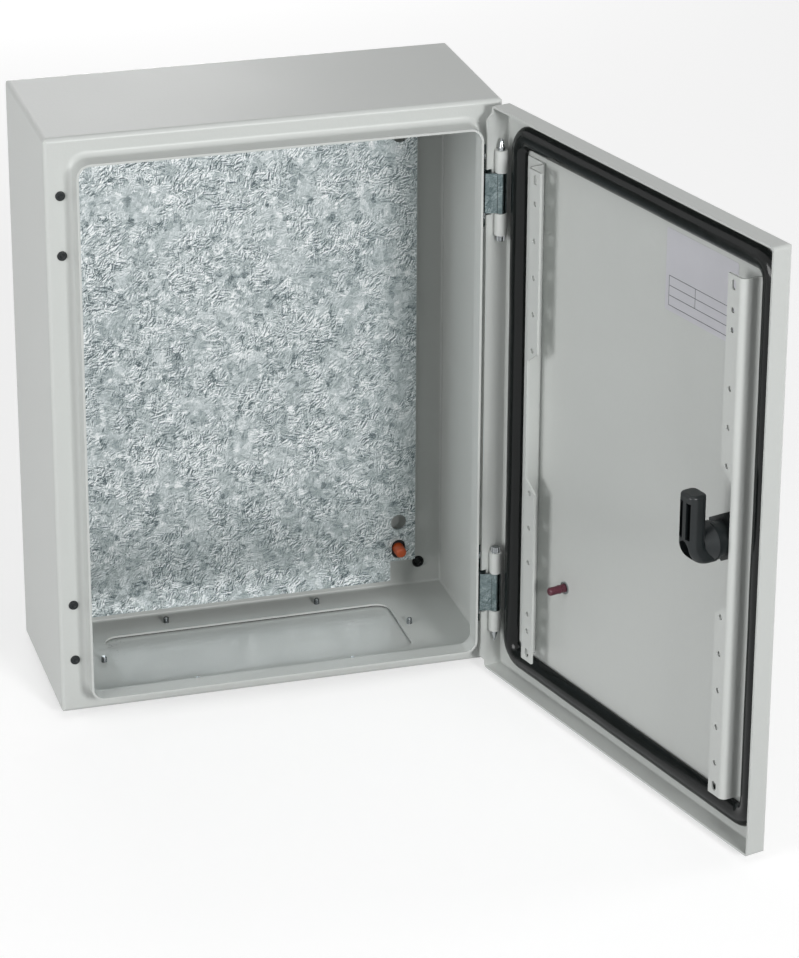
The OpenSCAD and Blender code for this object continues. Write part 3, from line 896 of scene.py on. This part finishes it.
@dataclass(frozen=True)
class Layout:
    """Sizes that more than one sub-assembly follows.

    Attributes:
        width: the cabinet's width.
        height: the cabinet's height.
        hinge_axis: where the axis of the hinge pins stands.
        hinge_z: height of the hinges' middles above and below the cabinet's middle.
        screw_x: distance of the hinge screws and the plugs from the cabinet's middle.
        screw_half: half the distance between the two screws of a hinge.
    """

    width: float = 300 * MM
    height: float = 400 * MM
    hinge_axis: tuple[float, float] = (144.5 * MM, -140.5 * MM)
    hinge_z: float = 142 * MM
    screw_x: float = 140 * MM
    screw_half: float = 20 * MM

    def screw_heights(self) -> list[float]:
        """Returns the heights of the four hinge screws, and of the plugs opposite."""
        return [side * self.hinge_z + half * self.screw_half for side in (-1, 1) for half in (-1, 1)]


@dataclass(frozen=True)
class DoorPlace:
    """The open door's place: its closed place turned about the hinge pins.

    Attributes:
        layout: the shared sizes.
        opening: the angle from closed, in degrees.
        axis_inset: distance of the pins' axis from the door's hinge edge.
        axis_up: height of the pins' axis over the panel's inner face.
    """

    layout: Layout
    opening: float = 105.0
    axis_inset: float = 5.5 * MM
    axis_up: float = 8.0 * MM

    def matrix(self) -> Matrix:
        """Works out where the panel's own axes go: from its hinge edge, up, and off its inner face.

        Returns:
            The matrix.
        """
        turn = Matrix.Rotation(math.radians(self.opening), 4, "Z")
        pivot = Matrix.Translation((*self.layout.hinge_axis, 0.0))
        closed = Matrix((
            (-1, 0, 0, self.axis_inset), (0, 0, 1, -self.axis_up), (0, 1, 0, 0), (0, 0, 0, 1)))
        return pivot @ turn @ closed


# Sub-assemblies


@dataclass
class CabinetBody:
    """The shell, its plate, plugs, bushes and cable-opening cover.

    Attributes:
        nodes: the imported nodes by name.
        layout: the shared sizes.
        flange_y: the front face of the flange.
        sheet: the sheet's thickness.
        plug: outline of a plug, from its end behind the flange to its dimple.
        bush_x, bush_z: places of the bushes from the middle of the back.
        bush: outline of a bush, from the skin's rear side to its front.
        stud_x, stud_z: places of the plate's studs.
        cap_y: where the caps start.
        cap_inside, cap_foot, cap_end: outline of a cap, in three stretches.
        cover_y: the cover's middle.
        cover_w, cover_d: the cover's width and depth.
        cover_drop: distance of the cover's lower face from the cabinet's bottom.
        cover_screw_edge: distance of the screws from the cover's edge.
        cover_screw_share: place of the screws on the long edges, as a share of the width.
        cover_screw: the cover's screw, which points up.
    """

    nodes: Nodes
    layout: Layout
    flange_y: float = -125 * MM
    sheet: float = 1.5 * MM
    plug: Outline = in_metres(
        (0.0, -2.5), (2.0, -2.5), (2.0, 0.0), (3.2, 0.0), (3.2, 0.5), (2.9, 0.9), (2.3, 1.0),
        (1.5, 0.95), (1.1, 0.45), (0.0, 0.4))
    bush_x: float = 132 * MM
    bush_z: float = 182 * MM
    bush: Outline = in_metres(
        (0.0, -0.2), (2.5, -0.2), (2.75, -1.5), (3.45, -1.5), (3.45, 0.0), (4.2, 0.0), (4.2, 0.9),
        (3.9, 1.4), (3.4, 1.5), (3.0, 1.3), (2.7, 0.5), (2.2, 0.1), (0.0, 0.1))
    stud_x: float = 113.5 * MM
    stud_z: float = 163.5 * MM
    cap_y: float = -14 * MM
    cap_inside: Outline = in_metres((0.0, 8.1), (3.05, 8.1), (3.05, 0.0))
    cap_foot: Outline = in_metres((4.0, 0.0), (4.0, 2.4), (3.85, 2.7))
    cap_end: Outline = round_end(radius=3.85 * MM, top=10.0 * MM, round_r=2.0 * MM, steps=6)
    cover_y: float = -62 * MM
    cover_w: float = 229 * MM
    cover_d: float = 107 * MM
    cover_drop: float = 2.5 * MM
    cover_screw_edge: float = 6.5 * MM
    cover_screw_share: float = 0.236
    cover_screw: Screw = Screw(
        shank=in_metres((0.0, 0.0), (1.62, 0.0), (1.62, 7.5), (1.2, 8.0), (0.0, 8.0)),
        low=0.1 * MM, high=7.1 * MM, head_r=4.0 * MM, head_h=2.4 * MM, dome=0.9 * MM)

    def dress(self) -> None:
        """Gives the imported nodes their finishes."""
        dress(self.nodes, ("body_shell",), PAINT)
        dress(self.nodes, ("gland_plate",), COVER_PAINT)
        dress(self.nodes, ("mounting_plate",), SPANGLE)
        dress(self.nodes, ("plate_studs",), BRIGHT_ZINC)
        dress(self.nodes, ("plate_spacers",), MOULDED_BLACK)
        dress(self.nodes, ("gland_gasket",), SEAL_BLACK)

    def build(self) -> None:
        """Builds the fine pieces of the cabinet."""
        self.plugs()
        self.bushes()
        self.caps()
        self.cover_screws()

    def plugs(self) -> None:
        """Builds the dimpled plugs in the left flange."""
        bm = bmesh.new()
        for height in self.layout.screw_heights():
            spot = (-self.layout.screw_x, self.flange_y, height)
            shift(bm, ring(bm, self.plug), along((0, -1, 0), spot))
        make("flange_plugs_dimpled", bm, [MOULDED_BLACK], Body.CABINET, ["flange_plugs"])

    def bushes(self) -> None:
        """Builds the bushes of the wall-fixing holes, each with a thin skin that a screw pierces."""
        bm = bmesh.new()
        for x in (-self.bush_x, self.bush_x):
            for z in (-self.bush_z, self.bush_z):
                shift(bm, ring(bm, self.bush), along((0, -1, 0), (x, -self.sheet, z)))
        make("wall_bushes_turned", bm, [SEAL_BLACK], Body.CABINET, ["wall_bushes"])

    def caps(self) -> None:
        """Builds the rounded caps of the plate's studs."""
        bm = bmesh.new()
        outline = self.cap_inside + self.cap_foot + self.cap_end
        for x in (-self.stud_x, self.stud_x):
            for z in (-self.stud_z, self.stud_z):
                shift(bm, ring(bm, outline), along((0, -1, 0), (x, self.cap_y, z)))
        make("stud_caps_rounded", bm, [MOULDED_ORANGE], Body.CABINET, ["stud_caps"])

    def cover_spots(self) -> list[tuple[float, float]]:
        """Works out where the cover's screws stand.

        Returns:
            Their places across and along the cover, from its middle.
        """
        across, deep = self.cover_w * self.cover_screw_share, self.cover_d / 2 - self.cover_screw_edge
        side = self.cover_w / 2 - self.cover_screw_edge
        return [(x, y) for y in (deep, -deep) for x in (across, -across)] + [(side, 0.0), (-side, 0.0)]

    def cover_screws(self) -> None:
        """Builds the threaded screws of the cable opening's cover."""
        bm = bmesh.new()
        seat = -self.layout.height / 2 - self.cover_drop
        for x, y in self.cover_spots():
            spot = (x, self.cover_y + y, seat)
            shift(bm, self.cover_screw.stem(bm), along((0, 0, 1), spot))
            shift(bm, self.cover_screw.head(bm), along((0, 0, -1), spot))
        make("cover_screws_threaded", bm, [BRIGHT_ZINC], Body.CABINET, ["gland_screws"])


@dataclass
class Hinges:
    """The two hinges: leaves, screws and nuts on the cabinet, sleeves and pins on the door.

    Attributes:
        nodes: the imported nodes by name.
        layout: the shared sizes.
        pin_r: the pin's radius.
        pin_half: half the length of its straight part.
        point_h: the height of its point.
        point: outline of the point, as shares of the radius with heights over the straight part.
        point_blunt: how wide the point's end is, as a share of the radius.
        pin_steps: faces round the pin.
        crown_h: the height of the ribbed head.
        crown_ribs, rib_points: ribs of the head, and points round the pin for each.
        crown_out: how far its ribs stand out, in radii of the pin.
        crown_taper: how much narrower it ends.
        leaf_front: the leaf's front face.
        leaf_screw: the screw that holds a leaf.
    """

    nodes: Nodes
    layout: Layout
    pin_r: float = 2.5 * MM
    pin_half: float = 28.8 * MM
    point_h: float = 8 * MM
    point: Outline = (
        (0.94, 0.5 * MM), (0.97, 0.9 * MM), (0.9, 2.2 * MM), (0.62, 4.8 * MM), (0.3, 7.2 * MM))
    point_blunt: float = 0.1
    pin_steps: int = 32
    crown_h: float = 4 * MM
    crown_ribs: int = 9
    rib_points: int = 4
    crown_out: float = 1.24
    crown_taper: float = 0.93
    leaf_front: float = -126.5 * MM
    leaf_screw: Screw = Screw(
        shank=in_metres((0.0, -7.0), (1.7, -7.0), (1.7, 0.2), (0.0, 0.2)),
        low=-6.9 * MM, high=0.0, head_r=3.4 * MM, head_h=2.0 * MM, dome=0.8 * MM)

    def dress(self) -> None:
        """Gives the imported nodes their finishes."""
        dress(self.nodes, ("upper_hinge_leaf", "lower_hinge_leaf"), STRAP_ZINC)
        dress(self.nodes, ("hinge_nuts",), BRIGHT_ZINC)
        dress(self.nodes, ("hinge_sleeves",), PAINT)

    def build(self) -> None:
        """Builds the pins and the screws."""
        self.pin("upper_hinge_pin_turned", "upper_hinge_pin", 1)
        self.pin("lower_hinge_pin_turned", "lower_hinge_pin", -1)
        self.screws()

    def pin(self, name: str, node: str, side: int) -> None:
        """Builds one pin with a pointed tip and a ribbed head.

        Args:
            name: the piece's name.
            node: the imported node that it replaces.
            side: 1 for the upper hinge and -1 for the lower, which is turned over.
        """
        bm = bmesh.new()
        radius, top, tip = self.pin_r, self.pin_half, self.pin_half + self.point_h
        point = [(radius * share, top + up) for share, up in self.point]
        outline = [
            (0.0, -top), (radius, -top), (radius, top), *point,
            (radius * self.point_blunt, tip), (0.0, tip)]
        verts = ring(bm, outline, self.pin_steps) + self.crown(bm, -top)
        turn = Matrix.Identity(4) if side > 0 else Matrix.Rotation(math.pi, 4, "X")
        place = Matrix.Translation((*self.layout.hinge_axis, side * self.layout.hinge_z))
        shift(bm, verts, place @ turn)
        make(name, bm, [BRIGHT_ZINC], Body.DOOR, [node], sharp=28.0)

    def crown(self, bm: Mesh, top: float) -> Verts:
        """Adds the ribbed head below a height.

        Args:
            bm: the mesh to add to.
            top: the height of the head's upper end.

        Returns:
            The new vertices.
        """
        before = set(bm.verts)
        made = bmesh.ops.create_circle(
            bm, cap_ends=True, segments=self.crown_ribs * self.rib_points, radius=self.pin_r)
        for index, vert in enumerate(made["verts"]):
            if index % self.rib_points < self.rib_points / 2:
                vert.co *= self.crown_out
        faces = [face for face in bm.faces if face.verts[0] not in before]
        lower = only_verts(bmesh.ops.extrude_face_region(bm, geom=faces)["geom"])
        bmesh.ops.translate(bm, verts=lower, vec=(0, 0, -self.crown_h))
        bmesh.ops.scale(bm, verts=lower, vec=(self.crown_taper, self.crown_taper, 1.0))
        fresh = added(bm, before)
        bmesh.ops.translate(bm, verts=fresh, vec=(0, 0, top))
        return fresh

    def screws(self) -> None:
        """Builds the screws that hold the leaves."""
        bm = bmesh.new()
        for height in self.layout.screw_heights():
            spot = (self.layout.screw_x, self.leaf_front, height)
            verts = self.leaf_screw.stem(bm) + self.leaf_screw.head(bm)
            shift(bm, verts, along((0, -1, 0), spot))
        make("hinge_screws_threaded", bm, [BRIGHT_ZINC], Body.CABINET, ["hinge_screws"])


@dataclass(frozen=True)
class Wave:
    """Smooth unevenness over the door's panel.

    Attributes:
        reach: the largest offset, about.
        waves: waves in a metre.
        layer: which layer of the noise it reads.
    """

    reach: float
    waves: float
    layer: float

    def at(self, place: Vector) -> float:
        """Returns the offset at a place on the panel."""
        return self.reach * noise.noise(Vector((place.x, place.y, self.layer)) * self.waves)


@dataclass
class DoorSeal:
    """The foamed bead round the door, slightly uneven as it is poured.

    Its section is an arc of a circle on the panel, closed by a flat foot.

    Attributes:
        layout: the shared sizes.
        place: the open door's place.
        width, height: the section's size.
        hinge_side, lock_side, ends: distances of the section's middle from the door's edges.
        corner_r: the radius of the corners.
        arc_steps, bend_steps: faces across the section and along a corner.
        rings_up: sections along half a side.
        rings_across: sections along an end.
        join: distance at which the last section meets the first.
        foot: height above which it is uneven.
        settle: how much it sinks everywhere.
        slow, quick: its uneven height.
        sway_x, sway_y: its uneven course.
    """

    layout: Layout
    place: DoorPlace
    width: float = 16.5 * MM
    height: float = 7.2 * MM
    hinge_side: float = 17.7 * MM
    lock_side: float = 14 * MM
    ends: float = 16 * MM
    corner_r: float = 12 * MM
    arc_steps: int = 12
    bend_steps: int = 9
    rings_up: int = 26
    rings_across: int = 38
    join: float = 0.001 * MM
    foot: float = 0.2 * MM
    settle: float = 0.35 * MM
    slow: Wave = Wave(reach=0.3 * MM, waves=22.0, layer=0.0)
    quick: Wave = Wave(reach=0.14 * MM, waves=70.0, layer=3.0)
    sway_x: Wave = Wave(reach=0.3 * MM, waves=30.0, layer=7.0)
    sway_y: Wave = Wave(reach=0.3 * MM, waves=30.0, layer=9.0)

    def build(self) -> None:
        """Builds the bead."""
        bm = bmesh.new()
        self.sweep(bm)
        self.pour(bm)
        shift(bm, bm.verts, self.place.matrix())
        piece = make(
            "door_seal_bead", bm, [SEAL_BLACK], Body.DOOR, ["door_gasket"], sharp=50.0)
        smooth = piece.modifiers.new("soft", "SUBSURF")
        smooth.levels = 1
        smooth.render_levels = 1

    def section(self, bm: Mesh, middle: float) -> Edges:
        """Draws the bead's section at the middle of the hinge side.

        Args:
            bm: the bead's mesh.
            middle: distance of the section's middle from the door's hinge edge.

        Returns:
            The section's edges.
        """
        half, high = self.width / 2, self.height
        dome = (half * half + high * high) / (2 * high)
        reach = math.atan2(half, dome - high)
        line = []
        for index in range(self.arc_steps + 1):
            angle = -reach + 2 * reach * index / self.arc_steps
            out, up = dome * math.sin(angle), dome * math.cos(angle)
            line.append(bm.verts.new((middle + out, 0.0, high - dome + up)))
        return [bm.edges.new(pair) for pair in zip(line, line[1:] + line[:1])]

    def sweep(self, bm: Mesh) -> None:
        """Draws the section round the door, from the hinge side's middle back to it.

        Args:
            bm: the bead's mesh.
        """
        left, right, r = self.hinge_side, self.layout.width - self.lock_side, self.corner_r
        tall = self.layout.height / 2 - self.ends - r
        up, across = Vector((0, tall, 0)), Vector((right - left - 2 * r, 0, 0))
        edges = self.section(bm, left)
        for way, rings, corner in (
            (up, self.rings_up, (left + r, tall, 0)),
            (across, self.rings_across, (right - r, tall, 0)),
            (-2 * up, 2 * self.rings_up, (right - r, -tall, 0)),
            (-across, self.rings_across, (left + r, -tall, 0)),
        ):
            edges = self.run(bm, edges, way, rings)
            edges = self.bend(bm, edges, corner)
        self.run(bm, edges, up, self.rings_up)
        bmesh.ops.remove_doubles(bm, verts=bm.verts, dist=self.join)

    @staticmethod
    def run(bm: Mesh, edges: Edges, way: Vector, rings: int) -> Edges:
        """Draws the section along a straight run.

        Args:
            bm: the bead's mesh.
            edges: the section's edges at the start.
            way: the whole run.
            rings: how many rings it has.

        Returns:
            The section's edges at the end.
        """
        for _ in range(rings):
            made = bmesh.ops.extrude_edge_only(bm, edges=edges)["geom"]
            edges = only_edges(made)
            bmesh.ops.translate(bm, verts=only_verts(made), vec=way / rings)
        return edges

    def bend(self, bm: Mesh, edges: Edges, centre: Point) -> Edges:
        """Turns the section round a corner.

        Args:
            bm: the bead's mesh.
            edges: the section's edges at the start.
            centre: the corner's centre.

        Returns:
            The section's edges at the end.
        """
        verts = list(dict.fromkeys(vert for edge in edges for vert in edge.verts))
        turned = bmesh.ops.spin(
            bm, geom=verts + edges, cent=centre, axis=(0, 0, -1), angle=math.pi / 2,
            steps=self.bend_steps)
        return only_edges(turned["geom_last"])

    def pour(self, bm: Mesh) -> None:
        """Makes the bead uneven above its foot, most at its top.

        Args:
            bm: the bead's mesh.
        """
        for vert in bm.verts:
            if vert.co.z > self.foot:
                lift = vert.co.z / self.height
                vert.co.z -= lift * (self.settle + self.slow.at(vert.co) + self.quick.at(vert.co))
                vert.co.x += lift * self.sway_x.at(vert.co)
                vert.co.y += lift * self.sway_y.at(vert.co)


@dataclass
class FilmPlate:
    """The bare film plate on the door, with empty ruled boxes.

    Attributes:
        place: the open door's place.
        low, high: its corners on the panel.
        thick: the film's thickness.
        glue: the gap under the film.
        corner_r, corner_steps: radius of its corners, and faces along each.
        rows, sides, divider: places of the rules, as shares of the plate's height and width.
        rule_w, rule_h: width and thickness of a rule.
        rule_up: height of a rule's middle over the film.
    """

    place: DoorPlace
    low: tuple[float, float] = (178 * MM, 119 * MM)
    high: tuple[float, float] = (251 * MM, 172 * MM)
    thick: float = 0.16 * MM
    glue: float = 0.01 * MM
    corner_r: float = 1.4 * MM
    corner_steps: int = 5
    rows: tuple[float, ...] = (0.07, 0.19, 0.31, 0.43)
    sides: tuple[float, float] = (0.05, 0.95)
    divider: float = 0.42
    rule_w: float = 0.4 * MM
    rule_h: float = 0.03 * MM
    rule_up: float = 0.02 * MM

    def build(self) -> None:
        """Builds the film and its rules."""
        bm = bmesh.new()
        low, size = Vector(self.low), Vector(self.high) - Vector(self.low)
        slab(bm, low + size / 2, (size.x, size.y, self.thick), self.thick / 2 + self.glue)
        upright = [
            edge for edge in bm.edges
            if abs(edge.verts[0].co.z - edge.verts[1].co.z) > self.thick / 2]
        bmesh.ops.bevel(
            bm, geom=upright, offset=self.corner_r, segments=self.corner_steps, profile=0.5,
            affect="EDGES", material=-1)
        film = set(bm.faces)
        for x0, y0, x1, y1 in self.rules():
            start = low + Vector((x0 * size.x, y0 * size.y))
            end = low + Vector((x1 * size.x, y1 * size.y))
            wide = end.x - start.x + self.rule_w
            tall = end.y - start.y - self.rule_w if y1 > y0 else self.rule_w
            slab(bm, (start + end) / 2, (wide, tall, self.rule_h), self.thick + self.rule_up)
        for face in bm.faces:
            face.material_index = 0 if face in film else 1
        shift(bm, bm.verts, self.place.matrix())
        make("blank_film_plate", bm, [SILVER_FILM, RULING_INK], Body.DOOR)

    def rules(self) -> list[tuple[float, float, float, float]]:
        """Works out the level rules and the upright ones between them.

        Returns:
            Both ends of each rule. The lowest box has no divider.
        """
        left, right = self.sides
        rules = [(left, row, right, row) for row in self.rows]
        for index, (lower, upper) in enumerate(zip(self.rows, self.rows[1:])):
            uprights = (left, self.divider, right) if index else (left, right)
            rules += [(upright, lower, upright, upper) for upright in uprights]
        return rules


@dataclass
class Door:
    """The door pan with its rails, its seal, its bare plate and its earth stud.

    Attributes:
        nodes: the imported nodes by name.
        place: the open door's place.
        seal: the foamed bead.
        plate: the bare film plate.
        earth_u, earth_v: the stud's place from the hinge edge and up from the middle.
        earth_inside, earth_ribs, earth_end: outline of the stud's cap, in three stretches.
    """

    nodes: Nodes
    place: DoorPlace
    seal: DoorSeal
    plate: FilmPlate
    earth_u: float = 77 * MM
    earth_v: float = -112 * MM
    earth_inside: Outline = in_metres((0.0, 12.0), (2.05, 12.0), (2.05, 1.0))
    earth_ribs: Outline = in_metres(
        (3.0, 1.0), (3.0, 2.0), (2.75, 2.3), (2.75, 4.4), (3.0, 4.7), (3.0, 5.4), (2.75, 5.7))
    earth_end: Outline = round_end(radius=2.75 * MM, top=13.0 * MM, round_r=1.2 * MM, steps=5)

    def dress(self) -> None:
        """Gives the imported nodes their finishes."""
        dress(self.nodes, ("door_panel", "hinge_side_rail", "lock_side_rail"), PAINT)
        dress(self.nodes, ("door_earth_stud", "stud_washer"), BRIGHT_ZINC)

    def build(self) -> None:
        """Builds the seal, the bare plate and the stud's cap."""
        self.seal.build()
        self.plate.build()
        self.earth_cap()

    def earth_cap(self) -> None:
        """Builds the ribbed cap of the earth stud."""
        bm = bmesh.new()
        outline = self.earth_inside + self.earth_ribs + self.earth_end
        spot = Matrix.Translation((self.earth_u, self.earth_v, 0.0))
        shift(bm, ring(bm, outline), self.place.matrix() @ spot)
        make("earth_cap_ribbed", bm, [MOULDED_RED], Body.DOOR, ["door_stud_cap"])


@dataclass
class Lock:
    """The quarter-turn lock: housing, seal and nut on the door, spindle and tongue on the cam.

    Attributes:
        nodes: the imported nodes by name.
        place: the open door's place.
        axis_u: distance of the lock's axis from the hinge edge.
        seat: height of the screw's seat over the panel.
        tongue_screw: the screw that holds the tongue.
    """

    nodes: Nodes
    place: DoorPlace
    axis_u: float = 258.7 * MM
    seat: float = 28.3 * MM
    tongue_screw: Screw = Screw(
        shank=in_metres((0.0, -9.95), (1.4, -9.95), (1.7, -9.5), (1.7, 0.2), (0.0, 0.2)),
        low=-9.4 * MM, high=-0.8 * MM, head_r=3.6 * MM, head_h=2.5 * MM, dome=0.9 * MM)

    def dress(self) -> None:
        """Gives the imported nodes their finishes."""
        dress(self.nodes, ("lock_housing", "lock_nut", "lock_tongue"), MOULDED_BLACK)
        dress(self.nodes, ("lock_seal",), SEAL_BLACK)
        dress(self.nodes, ("lock_spindle",), BRIGHT_ZINC)

    def build(self) -> None:
        """Builds the screw that holds the tongue."""
        bm = bmesh.new()
        verts = self.tongue_screw.stem(bm) + self.tongue_screw.head(bm)
        shift(bm, verts, self.place.matrix() @ Matrix.Translation((self.axis_u, 0.0, self.seat)))
        make("tongue_screw_threaded", bm, [BRIGHT_ZINC], Body.LOCK_CAM, ["tongue_screw"])


# Studio


@dataclass(frozen=True)
class Lamp:
    """A square soft lamp.

    Attributes:
        name: the lamp's name.
        place: where it hangs.
        aim: what it points at.
        side: the length of its side.
        power: its power in watts.
    """

    name: str
    place: Point
    aim: Point
    side: float
    power: float

    def hang(self) -> None:
        """Adds the lamp to the scene."""
        data = bpy.data.lights.new(self.name, "AREA")
        data.shape = "SQUARE"
        data.size = self.side
        data.energy = self.power
        lamp = bpy.data.objects.new(self.name, data)
        lamp.location = self.place
        lamp.rotation_euler = (Vector(self.aim) - Vector(self.place)).to_track_quat("-Z", "Y").to_euler()
        bpy.context.scene.collection.objects.link(lamp)


@dataclass
class Studio:
    """A pale floor, soft lamps, a white surround and the camera.

    Angles are degrees, and the lens and the sensor are millimetres.

    Attributes:
        floor_z: the floor's height, just under the cabinet.
        floor_half: half the floor's side.
        floor_grey: how much light the floor scatters.
        floor_glow: what makes it white where it is seen.
        surround_light: strength of the surround as light.
        lamps: the soft lamps.
        camera_place, camera_pitch, camera_yaw: where the camera stands and looks.
        camera_lens, camera_sensor, camera_shift: its lens, sensor width and shift.
        camera_far: how far it sees.
    """

    floor_z: float = -0.2052
    floor_half: float = 9.0
    floor_grey: float = 0.55
    floor_glow: float = 0.575
    surround_light: float = 0.19
    lamps: tuple[Lamp, ...] = (
        Lamp("front_softbox", (0.52, -2.6, 0.8), (0.0, -0.1, 0.0), side=0.5, power=34.5),
        Lamp("left_softbox", (-2.1, -1.05, 0.5), (0.05, -0.2, 0.0), side=1.0, power=26.0),
        Lamp("top_softbox", (0.0, -0.8, 1.9), (0.0, -0.15, 0.0), side=1.3, power=6.0),
        Lamp("rear_softbox", (0.15, 2.4, 0.25), (0.0, 0.0, 0.0), side=1.0, power=20.0),
        Lamp("right_softbox", (2.3, -0.2, 0.25), (0.1, -0.2, 0.0), side=1.0, power=15.0),
    )
    camera_place: Point = (-0.56, -2.3, 0.96)
    camera_pitch: float = 22.44
    camera_yaw: float = 15.8
    camera_lens: float = 141.02
    camera_sensor: float = 36.0
    camera_shift: tuple[float, float] = (0.04, -0.12)
    camera_far: float = 60.0

    def build(self) -> None:
        """Builds the floor, the lamps, the surround and the camera."""
        self.floor()
        for lamp in self.lamps:
            lamp.hang()
        self.surround()
        self.camera()

    def floor(self) -> None:
        """Builds the pale floor."""
        bm = bmesh.new()
        bmesh.ops.create_grid(bm, x_segments=1, y_segments=1, size=self.floor_half)
        bmesh.ops.translate(bm, verts=bm.verts, vec=(0, 0, self.floor_z))
        mesh = bpy.data.meshes.new("floor")
        bm.to_mesh(mesh)
        bm.free()
        mesh.materials.append(self.paper())
        plane = bpy.data.objects.new("floor", mesh)
        bpy.context.scene.collection.objects.link(plane)

    def paper(self) -> bpy.types.Material:
        """Builds the floor's finish, which looks white, keeps shadows and is clear from below.

        Returns:
            The material.
        """
        paper = bpy.data.materials.new("pale_paper")
        paper.use_nodes = True
        graph = Graph(paper.node_tree)
        lit = graph.add("BsdfDiffuse")
        lit.inputs["Color"].default_value = (self.floor_grey, self.floor_grey, self.floor_grey, 1.0)
        glow = graph.add("Emission")
        glow.inputs["Strength"].default_value = self.floor_glow
        white = graph.add("AddShader")
        graph.feed(white.inputs[0], lit.outputs[0])
        graph.feed(white.inputs[1], glow.outputs[0])
        clear = graph.add("BsdfTransparent")
        side = graph.add("NewGeometry")
        above = graph.mix(graph.seen(), lit, white)
        both = graph.mix(side.outputs["Backfacing"], above, clear)
        end = graph.add("OutputMaterial")
        graph.feed(end.inputs["Surface"], both.outputs[0])
        return paper

    def surround(self) -> None:
        """Sets an even surround: white where it is seen or mirrored, and softer as light."""
        world = bpy.data.worlds.new("surround")
        bpy.context.scene.world = world
        world.use_nodes = True
        graph = Graph(world.node_tree)
        sky = graph.add("Background")
        sky.inputs["Color"].default_value = (1.0, 1.0, 1.0, 1.0)
        graph.feed(sky.inputs["Strength"], graph.span(graph.seen(), self.surround_light, 1.0))
        end = graph.add("OutputWorld")
        graph.feed(end.inputs["Surface"], sky.outputs["Background"])

    def camera(self) -> None:
        """Places the camera near the photograph's viewpoint."""
        data = bpy.data.cameras.new("camera")
        data.lens = self.camera_lens
        data.sensor_width = self.camera_sensor
        data.shift_x, data.shift_y = self.camera_shift
        data.clip_end = self.camera_far
        camera = bpy.data.objects.new("camera", data)
        camera.location = self.camera_place
        tilt, turn = math.radians(90.0 - self.camera_pitch), math.radians(-self.camera_yaw)
        camera.rotation_euler = (tilt, 0.0, turn)
        bpy.context.scene.collection.objects.link(camera)
        bpy.context.scene.camera = camera


def main() -> None:
    """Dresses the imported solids, adds the fine pieces and sets up the studio."""
    logging.basicConfig(level=logging.INFO, format="%(message)s")
    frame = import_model()
    nodes = frame["nodes"]
    bpy.context.scene.view_settings.view_transform = "Standard"
    Studio().build()
    layout = Layout()
    place = DoorPlace(layout)
    for part in (
        CabinetBody(nodes, layout),
        Hinges(nodes, layout),
        Door(nodes, place, DoorSeal(layout, place), FilmPlate(place)),
        Lock(nodes, place),
    ):
        part.dress()
        part.build()
    bpy.context.view_layer.update()


if __name__ == "__main__":
    main()
